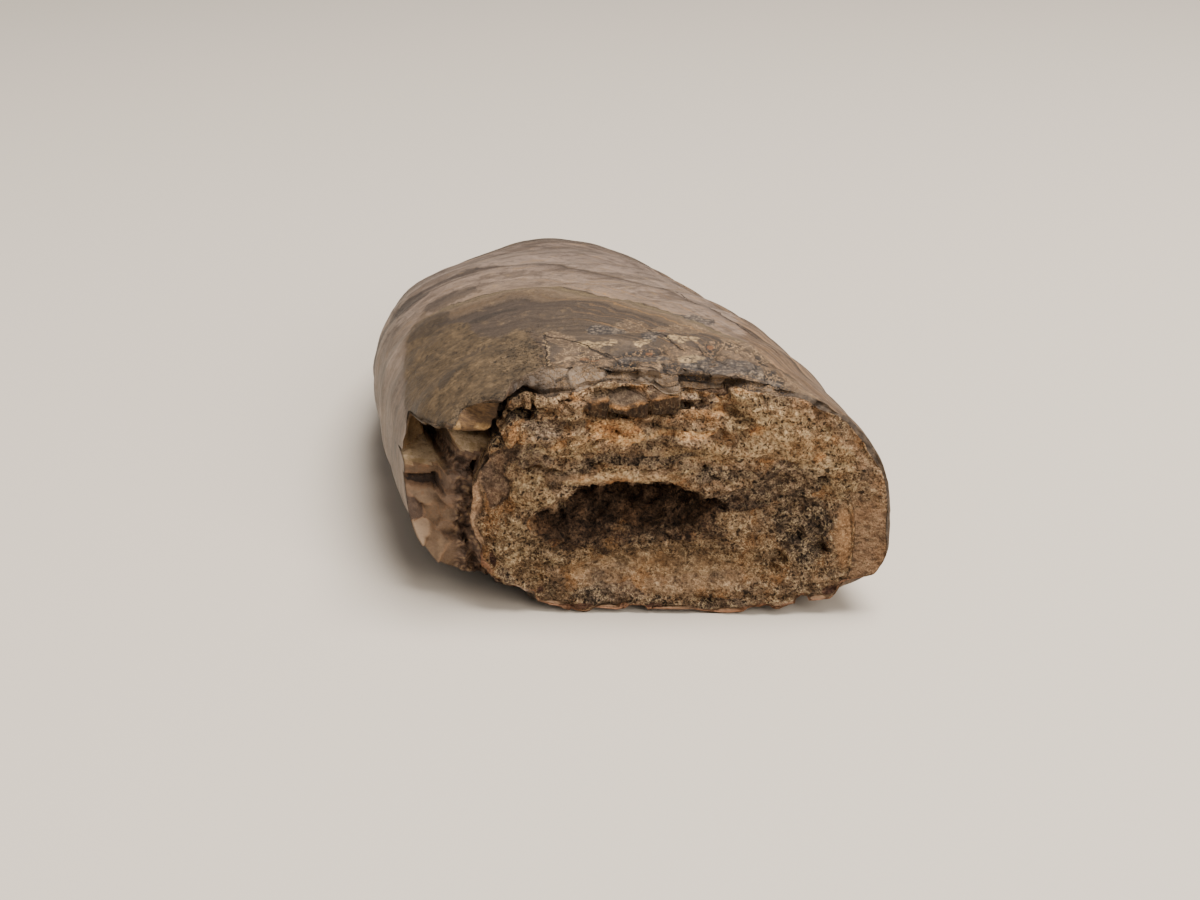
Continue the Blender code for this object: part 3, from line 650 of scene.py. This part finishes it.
crust_back = y + 1.5 * uneven(points, 3, 52) - 13 * rise(turn, 114, 134)
crust = crust * rise(crust_back, -19, -24) * (1 - 0.3 * rise(y, -25, -19))
crust_side = on_shell * bell(turn - 105.5 + 2 * uneven(points, 1.5, 54), 1.1) * rise(y, -20, -23)
lip = on_step * within(turn, 118, 124, 146, 150) * rise(out_share, ledge_of - 0.1, ledge_of + 0.02)
keel_line = on_shell * bell(np.sin(np.radians(turn)), 0.05) * rise(y, -6, 4)
right_flank = rise(right_turn + 1.2 * np.clip(y + 20, -12, 0), 60, 45) * rise(y, 12, -8)
right_flank = right_flank * on_shell * rise(right_turn, -90, -60)
left_flank = on_shell * within(turn, 130, 150, 205, 220) * rise(y, -32, -26)
gilded = on_shell * rise(x, -4, 1) * rise(growth, -26, -20) * (1 - 0.8 * rise(growth, -8, 20))
gilded = np.maximum(gilded, 0.7 * right_flank) * rise(y, 4, -14)
gilded = np.maximum(gilded, on_shell * 0.7 * bell(growth + 11, 1.6))
# Painted shade on the step under the enamel's upper left edge
shade_under_edge = on_step * within(turn, 106, 111, 122, 128)
crust_rim = on_shell * within(turn, 104, 107, 112, 124) * rise(y, -22, -25)
crust_rim = np.maximum(crust_rim, crust * 0.8 * rise(behind_edge, 11, 5) * rise(turn, 150, 146))
rough_facet = spalled * rise(x, -13.2, -12.2) * rise(z, 11.2, 10.2)
golden_tip = patch(x, z, [(-11, 14.15, 0.7, 0.22, -10), (-13.1, 14.7, 0.25, 0.5, 10)])

# The mesh: at the tip two corners of each face are one point, so the last row of faces
# is triangles
faces = quads[:-COLUMNS].tolist() + [list(dict.fromkeys(corners)) for corners in quads[-COLUMNS:].tolist()]
MILLIMETRE = 0.001
tooth_mesh = bpy.data.meshes.new("fossil_tooth")
tooth_mesh.from_pydata((points * MILLIMETRE).tolist(), [], faces)
tooth_mesh.validate()
# Each zone is an attribute, which the finishes read
zones |= {"ring": ring, "strip": strip, "garnet": garnet, "low_edge": low_edge, "flake": flake,
    "pale_rim": pale_rim, "calm": calm, "layered": in_layers * rise(x, -2, -5),
    # deep: painted shade where the relief sinks in
    "deep": rise(-relief, 0.05, 0.6) * on_face * (1 - block),
    "cavity_dark_and_shade": np.maximum(cavity_dark_and_shade, 0.6 * zones.pop("shade")), "painted_light_from_above": 0.8 + 0.5 * rise(z, 5, 14),
    "spalled": spalled, "scarp": scarp, "lip": lip, "golden_tip": golden_tip, "shade_under_edge": shade_under_edge,
    "rough_facet": rough_facet, "growth": growth, "crust": crust, "crust_rim": crust_rim,
    "crust_side": crust_side, "shattered": shattered,
    "plate": plate_number + 0.4 * on_step * rise(-x, -1.6, -0.4), "plate_gap": plate_gap,
    "left_flank": left_flank * (1 - crust), "right_flank": right_flank, "gilded": gilded, "keel": keel_line}
for name, values in zones.items():
    layer = tooth_mesh.attributes.new(name, "FLOAT", "POINT")
    layer.data.foreach_set("value", values.astype(np.float32))


def in_scene(name, data):
    """New object, put in the scene."""
    thing = bpy.data.objects.new(name, data)
    bpy.context.scene.collection.objects.link(thing)
    return thing


tooth = in_scene("fossil_tooth", tooth_mesh)
tooth_mesh.shade_smooth()


def tone(red, green, blue):
    """Colour from its three screen values, each from 0 to 255, as linear light."""
    screen = np.array([red, green, blue]) / 255.0
    linear = np.where(screen <= 0.04045, screen / 12.92, ((screen + 0.055) / 1.055) ** 2.4)
    return (*linear.tolist(), 1.0)


class Pattern:
    """Number or colour that varies over the surface, as one node of the finish gives it.
    A sum, difference, product or quotient of patterns is one more node."""

    def __init__(self, socket):
        self.socket = socket

    def __add__(self, other):
        return math_of("ADD", self, other)

    def __radd__(self, other):
        return math_of("ADD", other, self)

    def __sub__(self, other):
        return math_of("SUBTRACT", self, other)

    def __rsub__(self, other):
        return math_of("SUBTRACT", other, self)

    def __mul__(self, other):
        return math_of("MULTIPLY", self, other)

    def __truediv__(self, other):
        return math_of("DIVIDE", self, other)


def join(socket, value):
    """Links a pattern to a socket, or sets a plain value there."""
    if isinstance(value, Pattern):
        tree.links.new(value.socket, socket)
    else:
        socket.default_value = value


def node_of(kind, inputs, output=0, **settings):
    """Pattern from a new node of the finish in hand, with its inputs and settings."""
    node = tree.nodes.new("ShaderNode" + kind)
    for name, setting in settings.items():
        setattr(node, name, setting)
    for name, value in inputs.items():
        join(node.inputs[name], value)
    return Pattern(node.outputs[output])


def math_of(operation, first, second=0.0):
    """Sum, product or other operation of two numbers."""
    return node_of("Math", {0: first, 1: second}, operation=operation)


def larger(first, second):
    """The larger of two numbers."""
    return math_of("MAXIMUM", first, second)


def eased(value, low, high):
    """0 at low, 1 at high, and an S-curve between them."""
    inputs = {"Value": value, "From Min": low, "From Max": high}
    return node_of("MapRange", inputs, interpolation_type="SMOOTHSTEP")


def over(share, below, above):
    """One colour laid over another by a share."""
    return node_of("Mix", {0: share, 6: below, 7: above}, 2, data_type="RGBA")


def lay(share, above):
    """Lays one more colour over the finish in hand by a share."""
    global colour
    colour = over(share, colour, above)


def zone(name):
    """Value of one of the mesh's zones."""
    return node_of("Attribute", {}, "Fac", attribute_name=name)


def in_millimetres(stretch=(1.0, 1.0, 1.0), degrees=0.0):
    """Place on the object in millimetres, turned about y, then stretched along its axes."""
    place = node_of("TexCoord", {}, "Object")
    turned = node_of("Mapping", {"Vector": place, "Rotation": (0.0, math.radians(degrees), 0.0)})
    return node_of("Mapping", {"Vector": turned, "Scale": [1000.0 * value for value in stretch]})


def cloudy(place, size, detail=4.0, roughness=0.55):
    """Noise from 0 to 1, with clouds of a size in millimetres."""
    inputs = {"Vector": place, "Scale": 1.0 / size, "Detail": detail, "Roughness": roughness}
    return node_of("TexNoise", inputs)


def streaks(run, size, detail, roughness):
    """Noise from 0 to 1 along one run of numbers, with bands of a size."""
    inputs = {"W": run, "Scale": 1.0 / size, "Detail": detail, "Roughness": roughness}
    return node_of("TexNoise", inputs, noise_dimensions="1D")


def crumbly(place, size, bend):
    """Scattered grains bent out of round by a noise: the distance from each grain, in
    sizes, and the grain's own number from 0 to 1."""
    bent = node_of("TexNoise", {"Vector": place, "Scale": 0.8 / size, "Detail": 3.0}, "Color")
    pushed = node_of("VectorMath", {0: bent, 1: (bend, bend, bend), 2: place}, operation="MULTIPLY_ADD")
    distance = node_of("TexVoronoi", {"Vector": pushed, "Scale": 1.0 / size}, "Distance")
    return distance, node_of("SeparateXYZ", {0: Pattern(distance.socket.node.outputs["Color"])})


def creased(value):
    """How far a noise is from its middle: 0 along winding lines."""
    return math_of("ABSOLUTE", value - 0.5)


def mixed(first, second, share):
    """Number that runs from the first to the second by a share."""
    return first + (second - first) * share


def crisp(name, noise, strength=1.0):
    """One of the mesh's zones with a broken edge: a noise pushes its value up or down by up
    to 0.8, and the middle of what comes out is made steep."""
    return eased(zone(name) + (noise - 0.5) * 1.6, 0.35, 0.65) * strength


def scaled(colour, factor):
    """Colour made lighter or darker by a factor."""
    return node_of("VectorMath", {0: colour, "Scale": factor}, operation="SCALE")


def crack(place, start, end, width, wander, noise):
    """1 along a thin winding line seen from above, between two (x, y) places."""
    run = np.array(end) - np.array(start)
    length = float(np.hypot(*run))
    ahead_x, ahead_y = (run / length).tolist()
    from_start = node_of("VectorMath", {0: place, 1: (*start, 0.0)}, operation="SUBTRACT")
    along, aside = [node_of("VectorMath", {0: from_start, 1: way}, "Value", operation="DOT_PRODUCT")
                    for way in ((ahead_x, ahead_y, 0.0), (-ahead_y, ahead_x, 0.0))]
    line = 1.0 - eased(math_of("ABSOLUTE", aside + (noise - 0.5) * wander), 0.3 * width, width)
    return line * (eased(along, 0.0, 0.5) * eased(along, length, length - 0.8))


def shades(value, *stops):
    """Colour that runs through (value from 0 to 1, red, green, blue) stops."""
    pattern = node_of("ValToRGB", {0: value})
    elements = pattern.socket.node.color_ramp.elements
    for element, (position, *shade) in ((elements[0], stops[0]), (elements[1], stops[-1])):
        element.position, element.color = position, tone(*shade)
    for position, *shade in stops[1:-1]:
        elements.new(position).color = tone(*shade)
    return pattern


def raised(*heights):
    """Bumps on the shader, each (height, millimetres), laid one on the other."""
    normal = None
    for height, millimetres in heights:
        inputs = {"Distance": millimetres * MILLIMETRE, "Height": height}
        if normal is not None:
            inputs["Normal"] = normal
        normal = node_of("Bump", inputs)
    join(shader.inputs["Normal"], normal)


def new_finish(name):
    """Empty finish: its material, its node tree and its shader."""
    material = bpy.data.materials.new(name)
    material.use_nodes = True
    shader = material.node_tree.nodes["Principled BSDF"]
    shader.inputs["Specular IOR Level"].default_value = 0.3
    shader.inputs["Metallic"].default_value = 0.0
    return material, material.node_tree, shader


# Broken dentine: pale crumbs and strings over dark gaps, with golden, rusty, cream and ashen patches
broken_dentine, tree, shader = new_finish("broken_dentine")
rough_share = 1 - zone("calm") * 0.92
place = in_millimetres()
patchy = cloudy(place, 2.4, 4, 0.6)
mottle = cloudy(place, 0.9, 6, 0.72)
speckle = cloudy(place, 0.2, 3, 0.75)
crumb, crumb_own = crumbly(place, 0.5, 0.6)
grain, grain_own = crumbly(place, 0.22, 0.3)
strings = creased(cloudy(in_millimetres((0.6, 1, 1.3)), 0.75, 4, 0.6))
slanted = creased(cloudy(in_millimetres((0.4, 1, 1.5), 38), 0.6, 4, 0.6))
strings = mixed(strings, slanted, zone("layered"))
web = cloudy(place, 0.32, 2, 0.6)
fibres = creased(web)
height = 1 - (strings * 1.3 + fibres * 2 + (crumb + grain) * 0.2)
tint = mottle + ((crumb_own - 0.5) * 0.16 + (grain_own - 0.5) * 0.22)
colour = shades(tint, (0.3, 112, 87, 64), (0.45, 132, 104, 78), (0.58, 152, 123, 94), (0.72, 174, 146, 116))
lay(eased(patchy, 0.5, 0.62) * 0.6, tone(146, 100, 56))
lay(eased(patchy, 0.47, 0.36) * 0.5, tone(92, 80, 68))
lay(crisp("gold", mottle, 0.5), shades(tint, (0.32, 96, 71, 45), (0.5, 138, 109, 77),
    (0.68, 170, 142, 107)))
lay(crisp("cream", mottle, 0.6),
    shades(tint, (0.3, 112, 86, 60), (0.5, 162, 132, 96), (0.7, 204, 178, 138)))
lay(crisp("rust", mottle, 0.75),
    shades(tint, (0.3, 118, 76, 46), (0.5, 176, 128, 82), (0.7, 210, 170, 120)))
lay(crisp("greyed", mottle, 0.7), shades(tint, (0.32, 70, 58, 50), (0.68, 128, 110, 94)))
lay(crisp("ash", mottle, 0.8), shades(tint, (0.3, 40, 33, 29), (0.48, 80, 67, 56), (0.66, 126, 106, 87),
    (0.8, 166, 142, 117)))
lay(zone("strip"), shades(tint, (0.32, 112, 80, 52), (0.68, 156, 120, 86)))
# Dark brown stone at the left, and painted shade in a strip under the enamel's upper edge
lay(crisp("umber_and_edge_shade", mottle, 0.85), shades(tint, (0.32, 42, 32, 27), (0.68, 90, 71, 59)))
lay(zone("ring") * 0.85, shades(strings, (0, 126, 98, 74), (0.06, 98, 74, 54), (0.16, 68, 50, 37)))
lay(crisp("pale_rim", mottle, 0.7), shades(tint, (0.32, 108, 82, 62), (0.68, 160, 130, 104)))
# Near-black painted shade in the hollows under the crust's broken lip
lay(crisp("pocket_shade", mottle, 0.85), shades(tint, (0.36, 20, 20, 22), (0.6, 48, 42, 40), (0.7, 140, 112, 84)))
upright = cloudy(in_millimetres((2.5, 1, 0.6)), 0.5, 4)
# Painted shade on the blocks' fronts and painted light on their tops, which are the same dentine; the
# orange ridge is the stone's own
lay(zone("block"), shades(upright, (0.3, 30, 20, 13), (0.5, 44, 31, 20), (0.7, 66, 47, 31)))
lay(zone("block_top") * 0.8, shades(mottle, (0.35, 60, 48, 38), (0.65, 92, 76, 61)))
lay(zone("block_ridge") * eased(mottle, 0.36, 0.6), tone(138, 96, 56))
# Painted shade in the pulp cavity, over its dark brown stone
lay(crisp("cavity_dark_and_shade", mottle) * 0.82,
    shades(tint, (0.3, 27, 18, 13), (0.46, 54, 37, 28), (0.6, 84, 60, 45), (0.8, 114, 86, 64)))
pores = eased(web + patchy * 0.25, 0.53, 0.46)
specks = eased(cloudy(place, 0.13, 1), 0.42, 0.34)
gaps = eased(creased(cloudy(place, 0.4, 3, 0.6)), 0.04, 0.012) * eased(mottle, 0.6, 0.45)
pores = larger(pores, gaps)
# Painted shade where the relief sinks in (deep) and in the low parts of the crumb pattern, painted light on
# its crests, over the stone's own pale crumbs, dark pores, specks and gaps
dark = larger(zone("deep") * 0.6, larger(pores * 0.72, specks * 0.5))
factor = 0.46 + (eased(height, 0.3, 0.54) * 0.6 + eased(height, 0.62, 0.8) * 0.5)
# Painted light and shade: the break's colour is darker low down and lighter high up, as under a lamp above
factor *= zone("painted_light_from_above")
factor = mixed(factor, 1, zone("calm") * 0.7)
factor *= 1 - dark * rough_share
colour = scaled(colour, factor)
threads = eased(fibres, 0.03, 0.012) * eased(mottle, 0.42, 0.56)
lay(threads * (rough_share * (0.8 - zone("cavity_dark_and_shade") * 0.75)), tone(200, 174, 134))
lay(zone("flake") * 0.7, shades(mottle, (0.35, 112, 88, 70), (0.65, 160, 130, 104)))
lay(eased(zone("garnet"), 0.25, 0.6) * 0.8, shades(mottle, (0.4, 40, 22, 19), (0.64, 96, 62, 50)))
lay(zone("low_edge") * 0.8, tone(166, 120, 92))
join(shader.inputs["Base Color"], colour)
shader.inputs["Roughness"].default_value = 0.85
shader.inputs["Specular IOR Level"].default_value = 0.15
raised((height * rough_share, 0.6), (mottle * rough_share, 0.5), (speckle * rough_share, 0.12))

# Spalled layers: the step behind the core's edge
spalled_layers, tree, shader = new_finish("spalled_layers")
place = in_millimetres()
coarse = cloudy(place, 1.8, 4, 0.6)
mottle = cloudy(place, 0.7, 6, 0.7)
speckle = cloudy(place, 0.2, 3, 0.7)
scratches = creased(cloudy(in_millimetres((1, 0.6, 1.6)), 0.5, 4, 0.6))
crumb, _ = crumbly(place, 0.5, 0.6)
colour = shades(mottle, (0.3, 40, 32, 27), (0.5, 73, 60, 48), (0.68, 109, 91, 73))
stone_value = zone("pale_facet") + ((coarse - 0.5) * 0.6 + (mottle - 0.5) * 0.7)
mauve = shades(stone_value, (0, 46, 35, 30), (0.25, 84, 66, 54), (0.5, 118, 96, 79), (0.85, 154, 130, 108))
# The palest golden stop is lighter than the stone: painted light on the pale facets in the shade of the lip
# and the core
golden = shades(stone_value, (0, 43, 32, 22), (0.3, 82, 64, 43), (0.6, 119, 94, 64), (0.88, 182, 152, 112),
    (1, 222, 194, 156))
stone = over(zone("gold_facet"), mauve, golden)
stone = over(eased(mottle, 0.56, 0.66) * 0.4, stone, tone(122, 80, 52))
stone = over(crisp("facet_edge", mottle) * 0.4, stone, tone(150, 114, 84))
stone = over(zone("rough_facet") * 0.75, stone,
    shades(0.9 - crumb + mottle * 0.3, (0.3, 60, 48, 41), (0.55, 114, 92, 78), (0.72, 146, 120, 100),
    (0.85, 178, 148, 116)))
lay(zone("spalled"), stone)
plate_value = zone("plate") + (mottle - 0.5) * 1.6
plates = shades(plate_value, (0.1, 48, 38, 32), (0.35, 76, 62, 49), (0.6, 100, 81, 62),
    (0.95, 122, 104, 86))
plates = over(eased(scratches, 0.03, 0.008) * 0.75, plates, tone(168, 134, 98))
plates = over(eased(zone("plate_gap"), 0.12, 0.02) * 0.7, plates, tone(30, 22, 17))
lay(zone("scarp"), plates)
# Painted shade on the step under the enamel's upper left edge
lay(zone("shade_under_edge") * 0.75, shades(mottle, (0.35, 30, 25, 22), (0.52, 56, 45, 37), (0.68, 110, 88, 66)))
striated = cloudy(in_millimetres((0.5, 1, 3), -20), 0.45, 4, 0.7)
lay(zone("lip"), shades(mixed(coarse, striated, 0.6), (0.36, 50, 36, 23), (0.5, 78, 57, 37),
    (0.62, 108, 82, 53)))
lay(zone("golden_tip") * zone("lip") * 0.85, shades(mottle, (0.4, 112, 84, 50), (0.6, 186, 150, 100)))
lay(crisp("garnet", mottle, 0.85), tone(54, 30, 24))
join(shader.inputs["Base Color"], colour)
join(shader.inputs["Roughness"], 0.38 + zone("lip") * 0.3 + mottle * 0.3)
raised((striated * zone("lip"), 0.2), (mottle, 0.25), (speckle, 0.06), (crumb * zone("rough_facet"), -0.25),
    (eased(scratches, 0, 0.05) * zone("scarp"), -0.08))

# Weathered enamel: grey-brown and pinkish growth bands, some with a painted sheen, an olive crust by the
# break
weathered_enamel, tree, shader = new_finish("weathered_enamel")
place = in_millimetres()
coarse = cloudy(place, 3.2, 5, 0.6)
mottle = cloudy(place, 1, 7, 0.7)
fine = cloudy(place, 0.3, 5, 0.7)
torn = cloudy(in_millimetres((0.6, 1.3, 1)), 0.7, 6, 0.75)
grit = cloudy(in_millimetres((0.7, 1.7, 1)), 0.3, 4, 0.75)
run = zone("growth") + (coarse - 0.5) * 4
bands = streaks(run, 2.6, 8, 0.72)
thin_bands = streaks(run + torn * 0.6, 0.7, 5, 0.7)
# Growth bands as (growth, red, green, blue); the pale bands from -9.6 to -1 carry a painted sheen over
# pinkish beige enamel
BANDS_AND_SHEEN = ((-36, 56, 47, 41), (-29, 70, 58, 48), (-24, 76, 63, 51), (-18, 70, 58, 48), (-15, 66, 55, 46),
    (-13.5, 92, 75, 58), (-12, 88, 73, 58), (-10.9, 112, 95, 70), (-10.3, 46, 38, 29), (-9.6, 118, 99, 83),
    (-5, 126, 107, 93), (-1, 116, 98, 86), (-0.2, 70, 60, 52), (0.6, 120, 103, 91), (5, 124, 106, 94),
    (12, 110, 93, 82), (20, 104, 87, 76), (27, 80, 65, 54), (33, 72, 57, 45), (39, 42, 33, 25))
colour = shades((run + 40) / 80, *(((value + 40) / 80, *shade) for value, *shade in BANDS_AND_SHEEN))
lay(zone("left_flank"), shades(coarse, (0.35, 108, 93, 80), (0.65, 146, 127, 112)))
blotch = cloudy(in_millimetres((0.45, 1, 0.8)), 2.4, 7, 0.7)
behind_crust = eased(zone("growth"), -12, -6)
lay(eased(blotch, 0.53, 0.43) * 0.7 * behind_crust, tone(78, 64, 53))
lay(eased(blotch, 0.55, 0.62) * 0.5 * behind_crust, tone(118, 94, 68))
brown_streaks = shades(bands, (0.36, 42, 31, 22), (0.48, 76, 58, 42), (0.6, 112, 86, 61),
    (0.7, 132, 106, 80))
lay(crisp("right_flank", torn) * 0.8, brown_streaks)
lay(crisp("fawn", torn, 0.6), tone(94, 75, 57))
lay(eased(mottle, 0.55, 0.68) * 0.35, tone(130, 106, 76))
lay(eased(mottle, 0.45, 0.34) * 0.4, tone(48, 41, 36))
lay(eased(thin_bands, 0.55, 0.66) * zone("gilded") * 0.6, tone(140, 106, 68))
olive = shades(mottle * 0.6 + grit * 0.4, (0.36, 48, 38, 26), (0.5, 83, 67, 47), (0.64, 114, 93, 67))
lay(crisp("crust", coarse, 0.92), olive)
plate_value = zone("plate") + (mottle - 0.5) * 1.8
broken_plates = shades(plate_value, (0.1, 30, 26, 24), (0.35, 52, 44, 38), (0.6, 78, 63, 48),
    (0.9, 105, 86, 68))
scratches = creased(cloudy(in_millimetres((1, 0.7, 1)), 0.5, 4, 0.6))
broken_plates = over(eased(scratches, 0.03, 0.008) * 0.75, broken_plates, tone(164, 130, 94))
lay(crisp("shattered", mottle, 0.85), broken_plates)
lay(crisp("slate", torn, 0.85), shades(fine, (0.38, 42, 38, 37), (0.52, 70, 63, 59), (0.6, 134, 117, 98)))
fleck_share = eased(zone("flecks") + torn * 2.2, 1.66, 1.86) * eased(fine, 0.4, 0.54)
lay(fleck_share * 0.85, shades(fine, (0.35, 120, 94, 62), (0.6, 168, 142, 104)))
lay(eased(scratches, 0.022, 0.006) * eased(zone("fawn"), 0.1, 0.6) * 0.55, tone(168, 140, 106))
lay(crisp("smudge", mottle, 0.6), tone(50, 42, 35))
lay(crisp("orange", torn, 0.45), tone(140, 92, 54))
lay(zone("crust_side") * 0.55, shades(fine, (0.4, 30, 22, 16), (0.6, 96, 74, 52)))
lay(eased(zone("plate_gap"), 0.1, 0.02) * zone("shattered") * 0.6, tone(32, 25, 20))
covered = larger(zone("crust"), zone("shattered"))
factor = -0.35 + bands * 2.7
factor = mixed(factor, 1, covered * 0.92)
factor *= 0.55 + grit * 0.9
colour = scaled(colour, factor)
# Pale hairs and dark cracks, seen from above: the (x, y) where each starts and ends, and
# its width
HAIRS = (((-5.9, -31), (-3.1, -32.6), 0.1), ((-5.8, -29.6), (-2.8, -28.5), 0.08),
    ((-6.4, -31.6), (-5.3, -24.6), 0.08), ((-1.9, -33.8), (-0.3, -31.4), 0.08),
    ((0.4, -33.6), (1.6, -30.4), 0.07))
hairs = functools.reduce(larger, [crack(place, *line, 1.6, torn) for line in HAIRS])
lay(hairs * eased(fine, 0.36, 0.5) * 0.7, tone(176, 146, 108))
CRACKS = (((-5.2, -23.8), (0.6, -34), 0.1), ((2.2, -24.8), (3.4, -30.2), 0.09),
    ((-2.9, -28.2), (-1.4, -29.6), 0.16), ((-4.9, -23.2), (-6.7, -31.8), 0.05),
    ((1.2, -32.2), (0.8, -35), 0.12), ((3.4, -33), (3.8, -35.6), 0.08), ((4.6, -29), (5.4, -33.5), 0.06),
    ((7.6, -14.1), (9.4, -20.9), 0.08), ((9.4, -20.9), (10.9, -29.4), 0.07))
lines = functools.reduce(larger, [crack(place, *line, 1.1, mottle) for line in CRACKS])
lay(lines * 0.85, tone(27, 19, 15))
dots = cloudy(place, 0.45, 2, 0.5)
dots = larger(eased(dots, 0.31, 0.27) * crisp("crust", coarse), eased(dots, 0.46, 0.4) * zone("crust_side"))
holes = cloudy(place, 0.26, 3, 0.6)
dots = larger(dots, eased(holes, 0.44, 0.36) * zone("crust_rim"))
lay(dots * 0.8, tone(28, 21, 15))
join(shader.inputs["Base Color"], colour)
join(shader.inputs["Roughness"], 0.38 + mottle * 0.25)
DENTICLE = 0.5
along_keel = node_of("SeparateXYZ", {0: place}, 1)
denticles = math_of("SINE", along_keel * (2 * math.pi / DENTICLE)) * (zone("keel") * mottle)
raised((denticles, 0.12), (bands, 0.08), (mottle, 0.12), (grit, 0.07), (lines, -0.15), (dots, -0.1),
    (fine * zone("crust_rim"), 0.18), (torn * zone("shattered"), 0.15))

for finish in (broken_dentine, spalled_layers, weathered_enamel):
    tooth_mesh.materials.append(finish)
face_row = np.repeat(np.arange(LAST_ROW), COLUMNS)
finish_number = np.where(face_row < FACE_ROWS + 3, 0, np.where(face_row < FIRST_SHELL_ROW, 1, 2))
tooth_mesh.polygons.foreach_set("material_index", finish_number.astype(np.int32))
tooth_mesh.update()
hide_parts("tooth")
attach(tooth, "root")

# The floor
# A plain pale table top of painted board, which the tooth lies on. It is wide enough to
# fill the view behind the tooth.
HALF_TABLE = 3
floor_mesh = bpy.data.meshes.new("floor")
table_corners = [(HALF_TABLE * right, HALF_TABLE * away, 0)
    for right, away in ((-1, -1), (1, -1), (1, 1), (-1, 1))]
floor_mesh.from_pydata(table_corners, [], [(0, 1, 2, 3)])
floor = in_scene("floor", floor_mesh)
pale_top, tree, shader = new_finish("pale_table_top")
shader.inputs["Base Color"].default_value = tone(206, 196, 183)
shader.inputs["Roughness"].default_value = 0.8
floor_mesh.materials.append(pale_top)

# Light and camera
# Two soft square lamps, one above the tooth and one in front of it on the right, in a
# dim warm room. The camera stands where the photograph was taken from.


def soft_light(name, place, aim, size, watts, colour):
    """Square soft light at a place, turned to face another, all in metres."""
    light = bpy.data.lights.new(name, "AREA")
    light.size = size
    light.energy = watts
    light.color = colour
    lamp = in_scene(name, light)
    gone = np.array(aim) - np.array(place)
    lamp.location = place
    lamp.rotation_euler = (math.acos(-gone[2] / np.linalg.norm(gone)), 0,
        math.atan2(gone[1], gone[0]) - 0.5 * math.pi)


soft_light("overhead", (0.12, -0.1, 0.5), (0, -0.02, 0), 0.3, 6, (1, 0.96, 0.91))
soft_light("front_fill", (0.22, -0.55, 0.34), (0, 0, 0), 0.4, 3.6, (1, 0.94, 0.86))
world = bpy.data.worlds.new("studio")
world.use_nodes = True
room = world.node_tree.nodes["Background"].inputs
room["Color"].default_value = (1, 0.97, 0.94, 1)
room["Strength"].default_value = 0.28
bpy.context.scene.world = world

FOCAL_PIXELS, PHOTO_PIXELS, SENSOR_WIDTH = 1853.3, 1200, 36
LOOKS_DOWN, LOOKS_RIGHT = math.radians(22.534), math.radians(15.097)
camera_data = bpy.data.cameras.new("camera")
camera_data.sensor_width = SENSOR_WIDTH
camera_data.lens = FOCAL_PIXELS / PHOTO_PIXELS * SENSOR_WIDTH
camera_data.clip_start = 0.005
camera = in_scene("camera", camera_data)
camera.location = (-0.033851, -0.145792, 0.060742)
camera.rotation_euler = (0.5 * math.pi - LOOKS_DOWN, 0, -LOOKS_RIGHT)
bpy.context.scene.camera = camera
